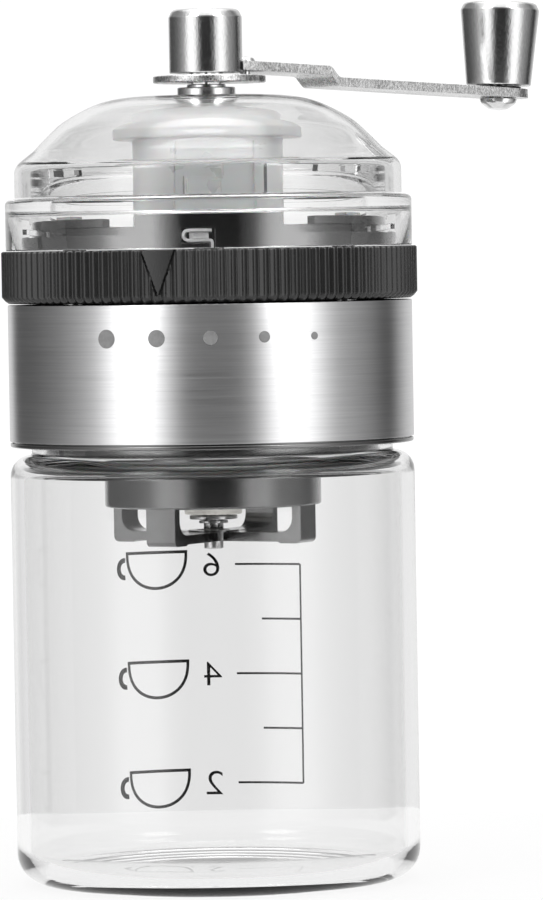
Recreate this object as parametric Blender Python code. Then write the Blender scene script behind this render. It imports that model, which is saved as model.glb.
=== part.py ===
"""Hand crank coffee grinder: glass jar, threaded mill head, burrs, clear hopper, lid and crank.

The origin is the middle of the jar's foot, +Z is up and the front is -Y. The constants below are in
millimetres and degrees; an azimuth is counted from the front towards +X, and MM turns millimetres
into metres.
"""
from math import atan2, cos, floor, pi, radians, sin, sqrt, tan

import bmesh
import bpy
from mathutils import Matrix, Vector

MM = 0.001

# Clearances
GAP = 0.3                  # between pieces that touch

# Facets around a turned piece
LARGE_FACETS = 36
MEDIUM_FACETS = 24
SMALL_FACETS = 12
SHAFT_FACETS = 18          # a multiple of six, for the hexagon

# Jar
JAR_RADIUS = 39.6
JAR_WALL = 2.6
JAR_FLOOR = 4.0
JAR_FOOT_RADIUS = 5.8      # rounding of the foot
JAR_SHOULDER_Z = 79.0
JAR_NECK_RADIUS = 35.4
JAR_NECK_INNER = 33.0
JAR_TOP = 95.0
THREAD_PITCH = 4.0
THREAD_HEIGHT = 1.2
THREAD_FACETS = 24         # for each turn
THREAD_FADE = 4            # steps over which a ridge rises at each end
THREAD_BURY = 0.6          # how deep a ridge's foot sits in its wall
JAR_THREAD_CREST = 36.5
JAR_THREAD_Z = 86.8        # middle of the thread where it starts
JAR_THREAD_TURNS = 1.1
HOUSING_THREAD_START = 0.37   # turns past the front

# Housing and sleeve
HOUSING_FOOT = 85.5
FLANGE_RADIUS = 39.5
FLANGE_TOP = 86.3
HOUSING_RADIUS = 38.8
HOUSING_INNER = 36.8
HOUSING_THREAD_ROOT = 37.2
HOUSING_THREAD_CREST = 35.8
ROOF_UNDERSIDE = 97.0
ROOF_TOP = 99.0
GUIDE_INNER = 21.6
GUIDE_OUTER = 23.4
GUIDE_FOOT = 86.0
KEY_AZIMUTHS = (90.0, 270.0)
KEY_WIDTH = 3.4
SLEEVE_RADIUS = 39.6
SLEEVE_WALL = 0.5
SLEEVE_TOP = 113.2

# Adjusting ring and funnel
RIB_COUNT = 120
RIB_CREST = 40.7
RIB_ROOT = 40.1
RING_INNER = 37.9
RING_FOOT = 113.5
RING_TOP = 123.7
WEB_INNER = 22.5
WEB_FOOT = 117.0
WEB_TOP = 119.0
LIP_INNER = 35.5
LIP_FOOT = 122.0
CLICK_COUNT = 5
CLICK_STEP = 15.0
CLICK_AZIMUTH = 1.3        # azimuth of the click spring's leg
RING_TURN_MAX = 45.0       # from rest to the finest dot
POINTER_AZIMUTH = -15.0
POINTER_HALF_WIDTH = 4.7   # degrees
LEG_AZIMUTHS = (60.0, 180.0, 300.0)
LEG_CENTRE = 30.0
LEG_RADIUS = 2.3
LEG_BORE = 1.5
FUNNEL_SCREW_CENTRE = 25.0
FUNNEL_SCREW_BORE = 1.2
TUBE_OUTER = 18.8
TUBE_INNER = 17.3
TUBE_FOOT = 75.0

# Burrs
BURR_FOOT = 76.0
BURR_TOP = 89.0
BURR_CREST = 13.6          # crest radius of the outer burr at its foot
BURR_TAPER = 0.36          # radius lost for each millimetre of height
BURR_GAP = 0.5
BURR_TEETH = 18
BURR_TWIST = 1.4           # lean of the teeth, degrees for each millimetre
INNER_BURR_FOOT = 71.7     # foot of its hub

# Burr carrier
CARRIER_RADIUS = 21.2
CARRIER_INNER = 19.2
CARRIER_FOOT = 73.4
CARRIER_TOP = 96.0
CARRIER_LEG_AZIMUTHS = (-29.0, 61.0)
CARRIER_LEG_WIDTH = 6.3
CARRIER_LEG_FOOT = 66.2
CROSS_FOOT = 66.5
CROSS_TOP = 68.3
HUB_BORE = 3.3

# Shaft
SHAFT_END = 67.3
SHAFT_STUB_RADIUS = 1.95
SHAFT_RADIUS = 3.0
SHAFT_NECK_RADIUS = 3.85
SHAFT_SHOULDER = 155.8
SHAFT_TOP = 168.0
HEX_FLATS = 6.0            # across flats
SPRING_CLIP_TOP = 131.0
THRUST_SCREW_FOOT = 64.85

# Hopper, collar, tower and lid
COLLAR_FOOT = 124.2
COLLAR_STEP = 126.6
COLLAR_TOP = 130.4
COLLAR_RADIUS = 37.0
COLLAR_INNER = 27.0
CHANNEL_INNER = 32.5       # inner face of the collar's wall
CHANNEL_BACK = 33.6        # outer face of the wall behind a channel
HOOK_RADIUS = 34.8         # outer face of a channel's bar
HOOK_FOOT = 128.3
HOOK_TOP = 129.8
BLOCK_SIDE = 22.0          # angles from the nearer of the front and the back
HOOK_SIDE = 35.0
CHANNEL_SIDE = 69.0
WINDOW = (-8.0, 1.9, 124.9, 127.8)      # first and last azimuth, foot and top
WINDOW_SLOT = (0.3, 1.9, 123.0, 125.2)
SKIRT_RADIUS = 39.8
SKIRT_INNER = 38.0
SKIRT_FOOT = 124.0
SHOULDER_FOOT = 130.8
SHOULDER_TOP = 133.8
HOPPER_WALL_OUTER = 34.8
HOPPER_WALL_INNER = 33.0
HOPPER_TOP = 139.9
SLOT_COUNT = 3
SLOT_LEFT = -7.7
SLOT_ENTRY = 4.9
SLOT_RIGHT = 18.6
SLOT_FOOT = 134.1
SLOT_TOP = 137.5
LUG_LEFT = -6.5
LUG_RIGHT = 4.0
HOPPER_LUG_AZIMUTHS = (64.5, 115.5, 244.5, 295.5)
HOPPER_LUG_FOOT = 126.95
TOWER_CAP_RADIUS = 18.5
TOWER_RADIUS = 14.8
TOWER_INNER = 12.8
TOWER_FOOT = 126.9
TOWER_TOP = 151.8
TOWER_STEP = 145.0         # underside of the cap
BUSH_HOLDER = 7.3          # outer radius of the sleeve that holds the upper bush
BUSH_FOOT = 143.7
BUSH_OUTER = 5.0
BUSH_FLANGE_RADIUS = 5.72
BUSH_TOP = 155.2
LID_RADIUS = 37.9
LID_WALL = 1.5
LID_FOOT = 134.1
LID_HOLE = 6.25

# Crank
ARM_AZIMUTH = 126.5        # points to the right and away
ARM_SLOPE = 2.5            # droop along its length
ARM_WIDTH = 12.0
ARM_THICKNESS = 1.8
ARM_START = 7.6            # radius of the notch that fits round the hub
ARM_LENGTH = 73.9          # crank axis to knob axis
ARM_TOP_AT_START = 160.2
JOGGLE_START = 26.0
JOGGLE_END = 29.0
JOGGLE_DROP = 2.15
PLATE_RADIUS = 10.4
PLATE_FOOT = 156.1
PLATE_TOP = 157.5
EAR_CENTRE = 7.1
RIVET_CENTRE = 9.6
RIVET_BORE = 1.3
AXLE_BORE = 2.2            # hole in the arm and in the knob
AXLE_RADIUS = 1.9
HUB_RADIUS = 7.19
HUB_FOOT = 158.0
HUB_TOP = 170.5
KNOB_HEIGHT = 16.9
KNOB_TOP_RADIUS = 8.0
KNOB_FOOT_RADIUS = 6.55


# ---------------------------------------------------------------- helpers

def clear_scene():
    for obj in list(bpy.data.objects):
        bpy.data.objects.remove(obj, do_unlink=True)


def material(name, colour, roughness, metallic=0.0, transmission=0.0):
    found = bpy.data.materials.new(name)
    found.use_nodes = True
    shader = found.node_tree.nodes["Principled BSDF"]
    shader.inputs["Base Color"].default_value = (*colour, 1.0)
    shader.inputs["Roughness"].default_value = roughness
    shader.inputs["Metallic"].default_value = metallic
    shader.inputs["Transmission Weight"].default_value = transmission
    return found


def black_plastic(name, roughness=0.35):
    return material(name, (0.02, 0.02, 0.022), roughness)


def steel(name, roughness=0.2):
    return material(name, (0.75, 0.75, 0.76), roughness, metallic=1.0)


def clear_plastic(name):
    return material(name, (0.93, 0.95, 0.96), 0.05, transmission=0.9)


def mesh_object(name, points, faces, finish):
    """A closed solid from points in millimetres, with its faces turned outwards."""
    mesh = bpy.data.meshes.new(name)
    mesh.from_pydata([Vector(p) * MM for p in points], [], faces)
    work = bmesh.new()
    work.from_mesh(mesh)
    bmesh.ops.connect_verts_nonplanar(work, angle_limit=radians(0.05), faces=work.faces)
    bmesh.ops.recalc_face_normals(work, faces=work.faces)
    work.to_mesh(mesh)
    work.free()
    mesh.shade_smooth()
    mesh.set_sharp_from_angle(angle=radians(35))
    if finish:
        mesh.materials.append(finish)
    obj = bpy.data.objects.new(name, mesh)
    bpy.context.scene.collection.objects.link(obj)
    return obj


def polar(radius, azimuth, z):
    """A point at an azimuth in degrees, counted from the front towards +X."""
    return (radius * sin(radians(azimuth)), -radius * cos(radians(azimuth)), z)


def ring(radius, z, facets):
    """One level of a solid; the radius may be a function of the azimuth."""
    azimuths = [360.0 * i / facets for i in range(facets)]
    return [polar(radius(a) if callable(radius) else radius, a, z) for a in azimuths]


def stack(name, rings, finish, capped):
    """Joins rings of equal count; the last ring closes on the first, or both ends get a flat cap."""
    count = len(rings[0])
    points = [p for level in rings for p in level]
    faces = []
    pairs = len(rings) - 1 if capped else len(rings)
    for k in range(pairs):
        low, high = k * count, ((k + 1) % len(rings)) * count
        for i in range(count):
            j = (i + 1) % count
            faces.append((low + i, low + j, high + j, high + i))
    if capped:
        faces.append(tuple(range(count)))
        faces.append(tuple(range((len(rings) - 1) * count, len(rings) * count)))
    return mesh_object(name, points, faces, finish)


def turned(name, profile, finish, facets=LARGE_FACETS, capped=False):
    """A solid of revolution from (radius, z) points."""
    return stack(name, [ring(r, z, facets) for r, z in profile], finish, capped)


def arc(centre_r, centre_z, radius, start, end, steps):
    """Profile points on an arc, with angles in degrees from the radial direction."""
    angles = [start + (end - start) * i / steps for i in range(steps + 1)]
    return [(centre_r + radius * cos(radians(a)), centre_z + radius * sin(radians(a))) for a in angles]


def sector(name, r_low, r_high, a_low, a_high, z_low, z_high):
    """A block bent around the axis between two azimuths."""
    steps = max(2, round((a_high - a_low) / 9.0))
    rings = []
    for i in range(steps + 1):
        a = a_low + (a_high - a_low) * i / steps
        corners = ((r_low, z_low), (r_high, z_low), (r_high, z_high), (r_low, z_high))
        rings.append([polar(r, a, z) for r, z in corners])
    return stack(name, rings, None, capped=True)


def prism(name, outline, z_low, z_high, finish=None):
    """A flat outline of (x, y) points raised between two heights."""
    return stack(name, [[(x, y, z) for x, y in outline] for z in (z_low, z_high)], finish, capped=True)


def radial_block(name, s_low, s_high, width, z_low, z_high, azimuth):
    """A straight block along a radius."""
    corners = ((s_low, -width / 2), (s_high, -width / 2), (s_high, width / 2), (s_low, width / 2))
    return prism(name, [turn_flat(p, azimuth) for p in corners], z_low, z_high)


def turn_flat(point, azimuth):
    """Moves (along, across) to (x, y) for a direction at this azimuth."""
    along, across = point
    heading = radians(azimuth - 90.0)
    return (along * cos(heading) - across * sin(heading), along * sin(heading) + across * cos(heading))


def pillar(name, radius, azimuth, centre, z_low, z_high, facets=SMALL_FACETS):
    """A round bar that stands at a radius and azimuth, with no corner on the radius through it."""
    x, y, _ = polar(centre, azimuth, 0.0)
    angles = [radians(azimuth) + 2 * pi * (i + 0.4) / facets for i in range(facets)]
    outline = [(x + radius * cos(a), y + radius * sin(a)) for a in angles]
    return prism(name, outline, z_low, z_high)


def hexagon(flats):
    """Radius of a hexagon at an azimuth, from its size across flats."""
    return lambda azimuth: flats / 2 / cos(radians((azimuth % 60.0) - 30.0))


def combine(target, helper, operation):
    """Adds a Boolean modifier and hides its helper."""
    modifier = target.modifiers.new(helper.name, "BOOLEAN")
    modifier.operation = operation
    modifier.solver = "EXACT"
    modifier.object = helper
    helper.hide_render = True
    helper.display_type = "WIRE"


def cut(target, helper):
    combine(target, helper, "DIFFERENCE")


def fuse(target, helper):
    combine(target, helper, "UNION")


def thread_ridge(name, root, crest, z_start, start_turn, turns):
    """A helical ridge that fades out at both ends."""
    steps = round(turns * THREAD_FACETS)
    foot = root - THREAD_BURY if crest > root else root + THREAD_BURY
    rings = []
    for i in range(steps + 1):
        turn = start_turn + turns * i / steps
        z = z_start + THREAD_PITCH * turn
        height = THREAD_HEIGHT / 2
        rise = min(1.0, (i + 0.5) / THREAD_FADE, (steps - i + 0.5) / THREAD_FADE)
        top = root + (crest - root) * rise
        corners = ((foot, -height), (top, -height * 0.5), (top, height * 0.5), (foot, height))
        # a right-hand thread rises as it turns from the front towards +X
        rings.append([polar(r, 360.0 * turn, z + dz) for r, dz in corners])
    return stack(name, rings, None, capped=True)


# ---------------------------------------------------------------- jar

def make_jar():
    glass = material("glass", (0.95, 0.97, 0.98), 0.02, transmission=1.0)
    inner = JAR_RADIUS - JAR_WALL
    profile = arc(JAR_RADIUS - JAR_FOOT_RADIUS, JAR_FOOT_RADIUS, JAR_FOOT_RADIUS, -90, 0, 4)
    profile += [(JAR_RADIUS, JAR_SHOULDER_Z)]
    profile += arc(JAR_RADIUS - 4.0, JAR_SHOULDER_Z, 4.0, 30, 80, 2)
    profile += [(JAR_NECK_RADIUS, JAR_SHOULDER_Z + 4.6)]
    profile += [(JAR_NECK_RADIUS, JAR_TOP - 0.7), (JAR_NECK_RADIUS - 0.7, JAR_TOP)]
    profile += [(JAR_NECK_INNER, JAR_TOP), (JAR_NECK_INNER, JAR_SHOULDER_Z + 3.2)]
    profile += [(inner - 1.4, JAR_SHOULDER_Z + 0.6), (inner, JAR_SHOULDER_Z - 2.0)]
    profile += arc(inner - 4.5, JAR_FLOOR + 4.5, 4.5, 0, -90, 3)
    jar = turned("glass_jar", profile, glass, capped=True)
    fuse(jar, thread_ridge("jar_thread_helper", JAR_NECK_RADIUS, JAR_THREAD_CREST,
                           JAR_THREAD_Z, 0.0, JAR_THREAD_TURNS))


def make_gasket():
    silicone = material("silicone", (0.78, 0.78, 0.76), 0.6)
    low, high = JAR_TOP + GAP, ROOF_UNDERSIDE - GAP
    inner, outer = JAR_NECK_INNER + 0.2, HOUSING_THREAD_ROOT - GAP
    turned("jar_gasket", [(outer, low), (outer, high), (inner, high), (inner, low)], silicone)


# ---------------------------------------------------------------- head

def make_housing():
    profile = [(FLANGE_RADIUS, HOUSING_FOOT), (FLANGE_RADIUS, FLANGE_TOP), (HOUSING_RADIUS, FLANGE_TOP)]
    profile += [(HOUSING_RADIUS, SLEEVE_TOP), (HOUSING_INNER, SLEEVE_TOP), (HOUSING_INNER, ROOF_TOP)]
    profile += [(GUIDE_INNER, ROOF_TOP), (GUIDE_INNER, GUIDE_FOOT), (GUIDE_OUTER, GUIDE_FOOT)]
    profile += [(GUIDE_OUTER, ROOF_UNDERSIDE), (HOUSING_THREAD_ROOT, ROOF_UNDERSIDE)]
    profile += [(HOUSING_THREAD_ROOT, HOUSING_FOOT)]
    housing = turned("housing", profile, black_plastic("housing_black", 0.4))
    fuse(housing, thread_ridge("housing_thread_helper", HOUSING_THREAD_ROOT, HOUSING_THREAD_CREST,
                               JAR_THREAD_Z - THREAD_PITCH / 2, HOUSING_THREAD_START, 1.0))
    for k, azimuth in enumerate(KEY_AZIMUTHS):
        helper = radial_block(f"guide_slot_helper_{k + 1}", GUIDE_INNER - 0.6, GUIDE_OUTER + 0.6,
                              KEY_WIDTH + 2 * GAP, GUIDE_FOOT - 1.0, ROOF_UNDERSIDE - 0.4, azimuth)
        cut(housing, helper)
    for k, azimuth in enumerate(LEG_AZIMUTHS):
        cut(housing, pillar(f"roof_hole_helper_{k + 1}", LEG_BORE, azimuth, LEG_CENTRE,
                            ROOF_UNDERSIDE - 1.0, ROOF_TOP + 1.0, 16))


def make_sleeve():
    inner, low = SLEEVE_RADIUS - SLEEVE_WALL, FLANGE_TOP + GAP
    profile = [(SLEEVE_RADIUS, low), (SLEEVE_RADIUS, SLEEVE_TOP), (inner, SLEEVE_TOP), (inner, low)]
    turned("steel_sleeve", profile, steel("brushed_steel", 0.3))


def fold(azimuth):
    """Angle to the nearer of the front and the back, because the collar repeats every half turn."""
    half = azimuth % 180.0
    return min(half, 180.0 - half)


def collar_has(azimuth, radius, z):
    """True where the lock collar is solid: a foot ring, two tall blocks and hooked channels."""
    side = fold(azimuth)
    if z < COLLAR_STEP:
        return True
    if radius < CHANNEL_INNER:
        return False
    if side < BLOCK_SIDE:
        return True
    if radius > HOOK_RADIUS or z > HOOK_TOP:
        return False
    if z < HOOK_FOOT:
        return radius < CHANNEL_BACK or side > CHANNEL_SIDE
    return side > HOOK_SIDE


def collar_azimuths():
    """Azimuths of the collar's cell walls, all the way round."""
    sides = [0.0, BLOCK_SIDE, HOOK_SIDE, CHANNEL_SIDE]
    sides += [180.0 - side for side in reversed(sides)]
    azimuths = []
    for half in (0.0, 180.0):
        for a, b in zip(sides, sides[1:]):
            steps = max(1, round((b - a) / 12.0))
            azimuths += [half + a + (b - a) * i / steps for i in range(steps)]
    return azimuths


def collar_solid():
    """Built from cells bent around the axis; a face goes wherever a solid cell meets an empty one."""
    azimuths = collar_azimuths()
    radii = (COLLAR_INNER, CHANNEL_INNER, CHANNEL_BACK, HOOK_RADIUS, COLLAR_RADIUS)
    heights = (COLLAR_FOOT, COLLAR_STEP, HOOK_FOOT, HOOK_TOP, COLLAR_TOP)
    turns, rows, levels = len(azimuths), len(radii) - 1, len(heights) - 1

    def solid(i, j, k):
        if not (0 <= j < rows and 0 <= k < levels):
            return False
        after = azimuths[(i + 1) % turns] + (360.0 if i + 1 >= turns else 0.0)
        azimuth = (azimuths[i % turns] + after) / 2
        return collar_has(azimuth, (radii[j] + radii[j + 1]) / 2, (heights[k] + heights[k + 1]) / 2)

    index, points, faces = {}, [], []

    def corner(i, j, k):
        key = (i % turns, j, k)
        if key not in index:
            index[key] = len(points)
            points.append(polar(radii[j], azimuths[key[0]], heights[k]))
        return index[key]

    around = ((0, 0), (1, 0), (1, 1), (0, 1))
    cells = [(i, j, k) for i in range(turns) for j in range(rows) for k in range(levels) if solid(i, j, k)]
    for i, j, k in cells:
        for side in (0, 1):
            step = 2 * side - 1
            if not solid((i + step) % turns, j, k):
                faces.append([corner(i + side, j + d, k + e) for d, e in around])
            if not solid(i, j + step, k):
                faces.append([corner(i + d, j + side, k + e) for d, e in around])
            if not solid(i, j, k + step):
                faces.append([corner(i + d, j + e, k + side) for d, e in around])
    return mesh_object("lock_collar", points, faces, black_plastic("collar_black", 0.25))


def make_collar():
    collar = collar_solid()
    for k, azimuth in enumerate(LEG_AZIMUTHS):
        fuse(collar, pillar(f"collar_leg_helper_{k + 1}", LEG_RADIUS, azimuth, LEG_CENTRE,
                            ROOF_TOP + GAP, COLLAR_FOOT + 1.0))
        cut(collar, pillar(f"collar_bore_helper_{k + 1}", LEG_BORE, azimuth, LEG_CENTRE,
                           ROOF_TOP - 1.0, ROOF_TOP + 11.0, 16))
    low, high = COLLAR_RADIUS - 3.0, COLLAR_RADIUS + 1.0
    cut(collar, sector("click_window_helper", low, high, *WINDOW))
    cut(collar, sector("click_slot_helper", low, high, *WINDOW_SLOT))


def make_collar_screws():
    for k, azimuth in enumerate(LEG_AZIMUTHS):
        name = f"collar_screw_{k + 1}"
        screw = turned(name, [(1.3, 95.2), (2.0, 95.6), (2.0, 96.7), (1.2, 96.7), (1.2, 109.0)],
                       steel(name + "_steel"), facets=SMALL_FACETS, capped=True)
        screw.location = Vector(polar(LEG_CENTRE, azimuth, 0.0)) * MM


def make_detent_spring():
    """A flat hairpin of spring steel whose leg drops to the adjusting ring."""
    path = [(1.0, 127.3), (-6.4, 127.3), (-7.1, 126.9), (-7.4, 126.35), (-7.1, 125.8), (-6.4, 125.4)]
    path += [(0.6, 125.4), (0.95, 125.2), (1.05, 124.7), (1.05, 123.95)]
    thickness, r_low, r_high = 0.35, COLLAR_RADIUS - 2.4, COLLAR_RADIUS - 0.3
    arc_length = radians(1.0) * (r_low + r_high) / 2    # of one degree
    rings = []
    for n, (azimuth, z) in enumerate(path):
        before, after = path[max(0, n - 1)], path[min(len(path) - 1, n + 1)]
        along = Vector(((after[0] - before[0]) * arc_length, after[1] - before[1])).normalized()
        across = Vector((-along.y, along.x)) * thickness / 2
        corners = []
        for side, radius in ((1, r_low), (1, r_high), (-1, r_high), (-1, r_low)):
            corners.append(polar(radius, azimuth + side * across.x / arc_length, z + side * across.y))
        rings.append(corners)
    stack("detent_spring", rings, steel("spring_steel", 0.25), capped=True)


def make_hopper_ring():
    edge, seat = 0.9, HOPPER_WALL_INNER - 2.0
    profile = [(SKIRT_RADIUS, SKIRT_FOOT), (SKIRT_RADIUS, SHOULDER_TOP - edge)]
    profile += arc(SKIRT_RADIUS - edge, SHOULDER_TOP - edge, edge, 30, 90, 2)
    profile += [(HOPPER_WALL_OUTER, SHOULDER_TOP), (HOPPER_WALL_OUTER, HOPPER_TOP - 0.5)]
    profile += [(HOPPER_WALL_OUTER - 0.5, HOPPER_TOP), (HOPPER_WALL_INNER, HOPPER_TOP)]
    profile += [(HOPPER_WALL_INNER, SHOULDER_TOP)]
    profile += [(seat, SHOULDER_TOP - 0.4), (seat, SHOULDER_FOOT), (SKIRT_INNER, SHOULDER_FOOT)]
    profile += [(SKIRT_INNER, SKIRT_FOOT)]
    hopper = turned("hopper_ring", profile, clear_plastic("hopper_clear"))
    low, high = HOPPER_WALL_INNER - 1.0, HOPPER_WALL_OUTER + 1.0
    for k in range(SLOT_COUNT):
        turn = 360.0 * k / SLOT_COUNT
        cut(hopper, sector(f"slot_helper_{k + 1}", low, high, SLOT_LEFT + turn, SLOT_RIGHT + turn,
                           SLOT_FOOT, SLOT_TOP))
        cut(hopper, sector(f"entry_helper_{k + 1}", low, high, SLOT_ENTRY + turn, SLOT_RIGHT + turn,
                           SLOT_TOP - 1.0, HOPPER_TOP + 1.0))
    for k, azimuth in enumerate(HOPPER_LUG_AZIMUTHS):
        fuse(hopper, sector(f"hopper_lug_helper_{k + 1}", CHANNEL_BACK + 0.5, SKIRT_INNER + 0.6,
                            azimuth - 2.0, azimuth + 2.0, HOPPER_LUG_FOOT, HOPPER_LUG_FOOT + 1.0))


def make_tower():
    milky = material("milky_white", (0.86, 0.87, 0.88), 0.3, transmission=0.35)
    bore = BUSH_OUTER + GAP
    profile = [(TOWER_CAP_RADIUS, TOWER_STEP), (TOWER_CAP_RADIUS, TOWER_STEP + 2.2)]
    profile += [(16.8, TOWER_TOP - 2.6), (13.5, TOWER_TOP - 1.1), (9.5, TOWER_TOP - 0.3), (7.0, TOWER_TOP)]
    profile += [(bore, TOWER_TOP), (bore, BUSH_FOOT - GAP), (BUSH_HOLDER, BUSH_FOOT - GAP)]
    profile += [(BUSH_HOLDER, TOWER_TOP - 3.6), (TOWER_INNER, TOWER_STEP + 2.0), (TOWER_INNER, TOWER_FOOT)]
    profile += [(TOWER_RADIUS, TOWER_FOOT), (TOWER_RADIUS, TOWER_STEP)]
    tower = turned("bearing_tower", profile, milky, facets=MEDIUM_FACETS)
    for k, azimuth in enumerate(LEG_AZIMUTHS):
        end = CHANNEL_INNER - 0.5
        fuse(tower, radial_block(f"tower_arm_helper_{k + 1}", TOWER_RADIUS - 0.8, end, 6.0,
                                 TOWER_FOOT, TOWER_FOOT + 2.2, azimuth))
        fuse(tower, radial_block(f"tower_pad_helper_{k + 1}", end - 2.5, end - 0.1, 5.6,
                                 TOWER_FOOT + 1.0, SHOULDER_FOOT - GAP, azimuth))
        cut(tower, sector(f"panel_helper_{k + 1}", TOWER_RADIUS - 0.6, TOWER_RADIUS + 0.8,
                          azimuth - 86.0, azimuth - 22.0, TOWER_FOOT + 4.1, TOWER_STEP - 0.8))


def make_upper_bush():
    bore, edge = SHAFT_NECK_RADIUS + GAP, 0.2
    profile = [(BUSH_OUTER, BUSH_FOOT), (BUSH_OUTER, TOWER_TOP + GAP), (BUSH_FLANGE_RADIUS, TOWER_TOP + GAP)]
    profile += [(BUSH_FLANGE_RADIUS, BUSH_TOP - edge), (BUSH_FLANGE_RADIUS - edge, BUSH_TOP)]
    profile += [(bore, BUSH_TOP), (bore, BUSH_FOOT)]
    turned("upper_bush", profile, steel("bush_steel", 0.15), facets=SHAFT_FACETS)


def make_burr_spring():
    """A round-wire coil between the upper bush and the spring clip."""
    turns, coil_radius, wire = 5.0, 5.4, 0.45
    low, high = SPRING_CLIP_TOP + GAP + wire, BUSH_FOOT - GAP - wire
    steps = round(turns * 12)
    rings = []
    for i in range(steps + 1):
        fraction = i / steps
        azimuth = 360.0 * turns * fraction
        z = low + (high - low) * fraction
        corners = [2 * pi * m / 5 for m in range(5)]
        rings.append([polar(coil_radius + wire * cos(c), azimuth, z + wire * sin(c)) for c in corners])
    stack("burr_spring", rings, steel("coil_steel", 0.25), capped=True)


# ---------------------------------------------------------------- adjuster

def rib_radius(inset=0.0):
    """Outer radius of the adjusting ring: ribs, and a smooth field under the pointer."""
    def radius(azimuth):
        from_pointer = abs((azimuth - POINTER_AZIMUTH + 180.0) % 360.0 - 180.0)
        if from_pointer < POINTER_HALF_WIDTH - 2.0:
            return RIB_CREST - inset
        crest = floor(azimuth / (180.0 / RIB_COUNT) + 0.5) % 2 == 0
        return (RIB_CREST if crest else RIB_ROOT) - inset
    return radius


def make_adjusting_ring():
    facets = 2 * RIB_COUNT
    levels = [(rib_radius(1.4), RING_FOOT), (rib_radius(), RING_FOOT + 1.3), (rib_radius(), RING_TOP)]
    adjusting = stack("adjusting_ring", [ring(r, z, facets) for r, z in levels],
                      black_plastic("ring_black", 0.45), capped=True)
    cavity = [(RING_INNER, RING_FOOT - 1.0), (RING_INNER, WEB_FOOT), (WEB_INNER, WEB_FOOT)]
    cavity += [(WEB_INNER, WEB_TOP), (RING_INNER, WEB_TOP), (RING_INNER, LIP_FOOT)]
    cavity += [(LIP_INNER, LIP_FOOT), (LIP_INNER, RING_TOP + 1.0)]
    cut(adjusting, turned("ring_cavity_helper", cavity, None, capped=True))
    swing = 5.0
    for k, azimuth in enumerate(LEG_AZIMUTHS):
        low, high = azimuth - RING_TURN_MAX - swing, azimuth + CLICK_STEP + swing
        cut(adjusting, sector(f"web_slot_helper_{k + 1}", LEG_CENTRE - LEG_RADIUS - GAP,
                              LEG_CENTRE + LEG_RADIUS + GAP, low, high, WEB_FOOT - 1.0, WEB_TOP + 1.0))
        cut(adjusting, pillar(f"web_hole_helper_{k + 1}", FUNNEL_SCREW_BORE, azimuth, FUNNEL_SCREW_CENTRE,
                              WEB_FOOT - 1.0, WEB_TOP + 1.0))
    for n in range(CLICK_COUNT):
        azimuth = CLICK_AZIMUTH - RING_TURN_MAX + CLICK_STEP * n
        cut(adjusting, radial_block(f"click_notch_helper_{n + 1}", LIP_INNER - 1.0, RING_INNER - 0.5, 1.4,
                                    RING_TOP - 0.4, RING_TOP + 1.0, azimuth))


def make_funnel():
    top = WEB_FOOT - GAP
    low, throat, ledge = top - 2.3, 15.5, BURR_TOP + GAP
    profile = [(27.0, low), (27.0, top), (WEB_INNER, top), (22.0, top - 1.0), (throat, 94.0)]
    profile += [(throat, 91.0), (throat - 1.5, ledge), (TUBE_INNER, ledge), (TUBE_INNER, TUBE_FOOT)]
    profile += [(TUBE_OUTER, TUBE_FOOT), (TUBE_OUTER, ROOF_UNDERSIDE + 1.0), (24.0, low)]
    funnel = turned("hopper_funnel", profile, black_plastic("funnel_black", 0.4), facets=MEDIUM_FACETS)
    for k, azimuth in enumerate(LEG_AZIMUTHS):
        cut(funnel, pillar(f"flange_hole_helper_{k + 1}", FUNNEL_SCREW_BORE, azimuth, FUNNEL_SCREW_CENTRE,
                           low - 1.0, top + 1.0, 16))


def make_ring_screws():
    for k, azimuth in enumerate(LEG_AZIMUTHS):
        name = f"ring_screw_{k + 1}"
        head = WEB_TOP + GAP
        screw = turned(name, [(0.9, 114.9), (0.9, head), (1.7, head), (1.7, head + 0.7), (1.0, head + 1.2)],
                       steel(name + "_steel"), facets=SMALL_FACETS, capped=True)
        screw.location = Vector(polar(FUNNEL_SCREW_CENTRE, azimuth, 0.0)) * MM


def toothed(base, depth, twist, inward):
    """Radius of a burr's surface: saw teeth that lean with the height."""
    def radius(azimuth):
        phase = ((azimuth + twist) * BURR_TEETH / 360.0) % 1.0
        fall = depth * phase
        return base + fall if inward else base - fall
    return radius


def make_outer_burr():
    ceramic = material("ceramic_outer", (0.88, 0.87, 0.84), 0.35)
    facets, levels = BURR_TEETH * 3, 3
    outer = TUBE_INNER - GAP
    rings = [ring(outer, BURR_FOOT, facets), ring(outer, BURR_TOP, facets)]
    for n in range(levels + 1):
        z = BURR_TOP + (BURR_FOOT - BURR_TOP) * n / levels
        crest = BURR_CREST - BURR_TAPER * (z - BURR_FOOT)
        rings.append(ring(toothed(crest, 0.8, BURR_TWIST * (z - BURR_FOOT), True), z, facets))
    stack("outer_burr", rings, ceramic, capped=False)


def make_inner_burr():
    ceramic = material("ceramic_inner", (0.90, 0.89, 0.86), 0.35)
    facets, levels = BURR_TEETH * 4, 3
    foot, top = 74.6, 88.4
    bore = hexagon(HEX_FLATS + 2 * GAP)
    rings = [ring(bore, top, facets), ring(bore, INNER_BURR_FOOT, facets)]
    rings += [ring(5.6, INNER_BURR_FOOT, facets), ring(6.0, foot, facets)]
    for n in range(levels + 1):
        z = foot + (top - foot) * n / levels
        crest = BURR_CREST - BURR_GAP - BURR_TAPER * max(0.0, z - BURR_FOOT)
        rings.append(ring(toothed(crest, 1.0, -BURR_TWIST * (z - foot), False), z, facets))
    stack("inner_burr", rings, ceramic, capped=False)


# ---------------------------------------------------------------- carrier

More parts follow.
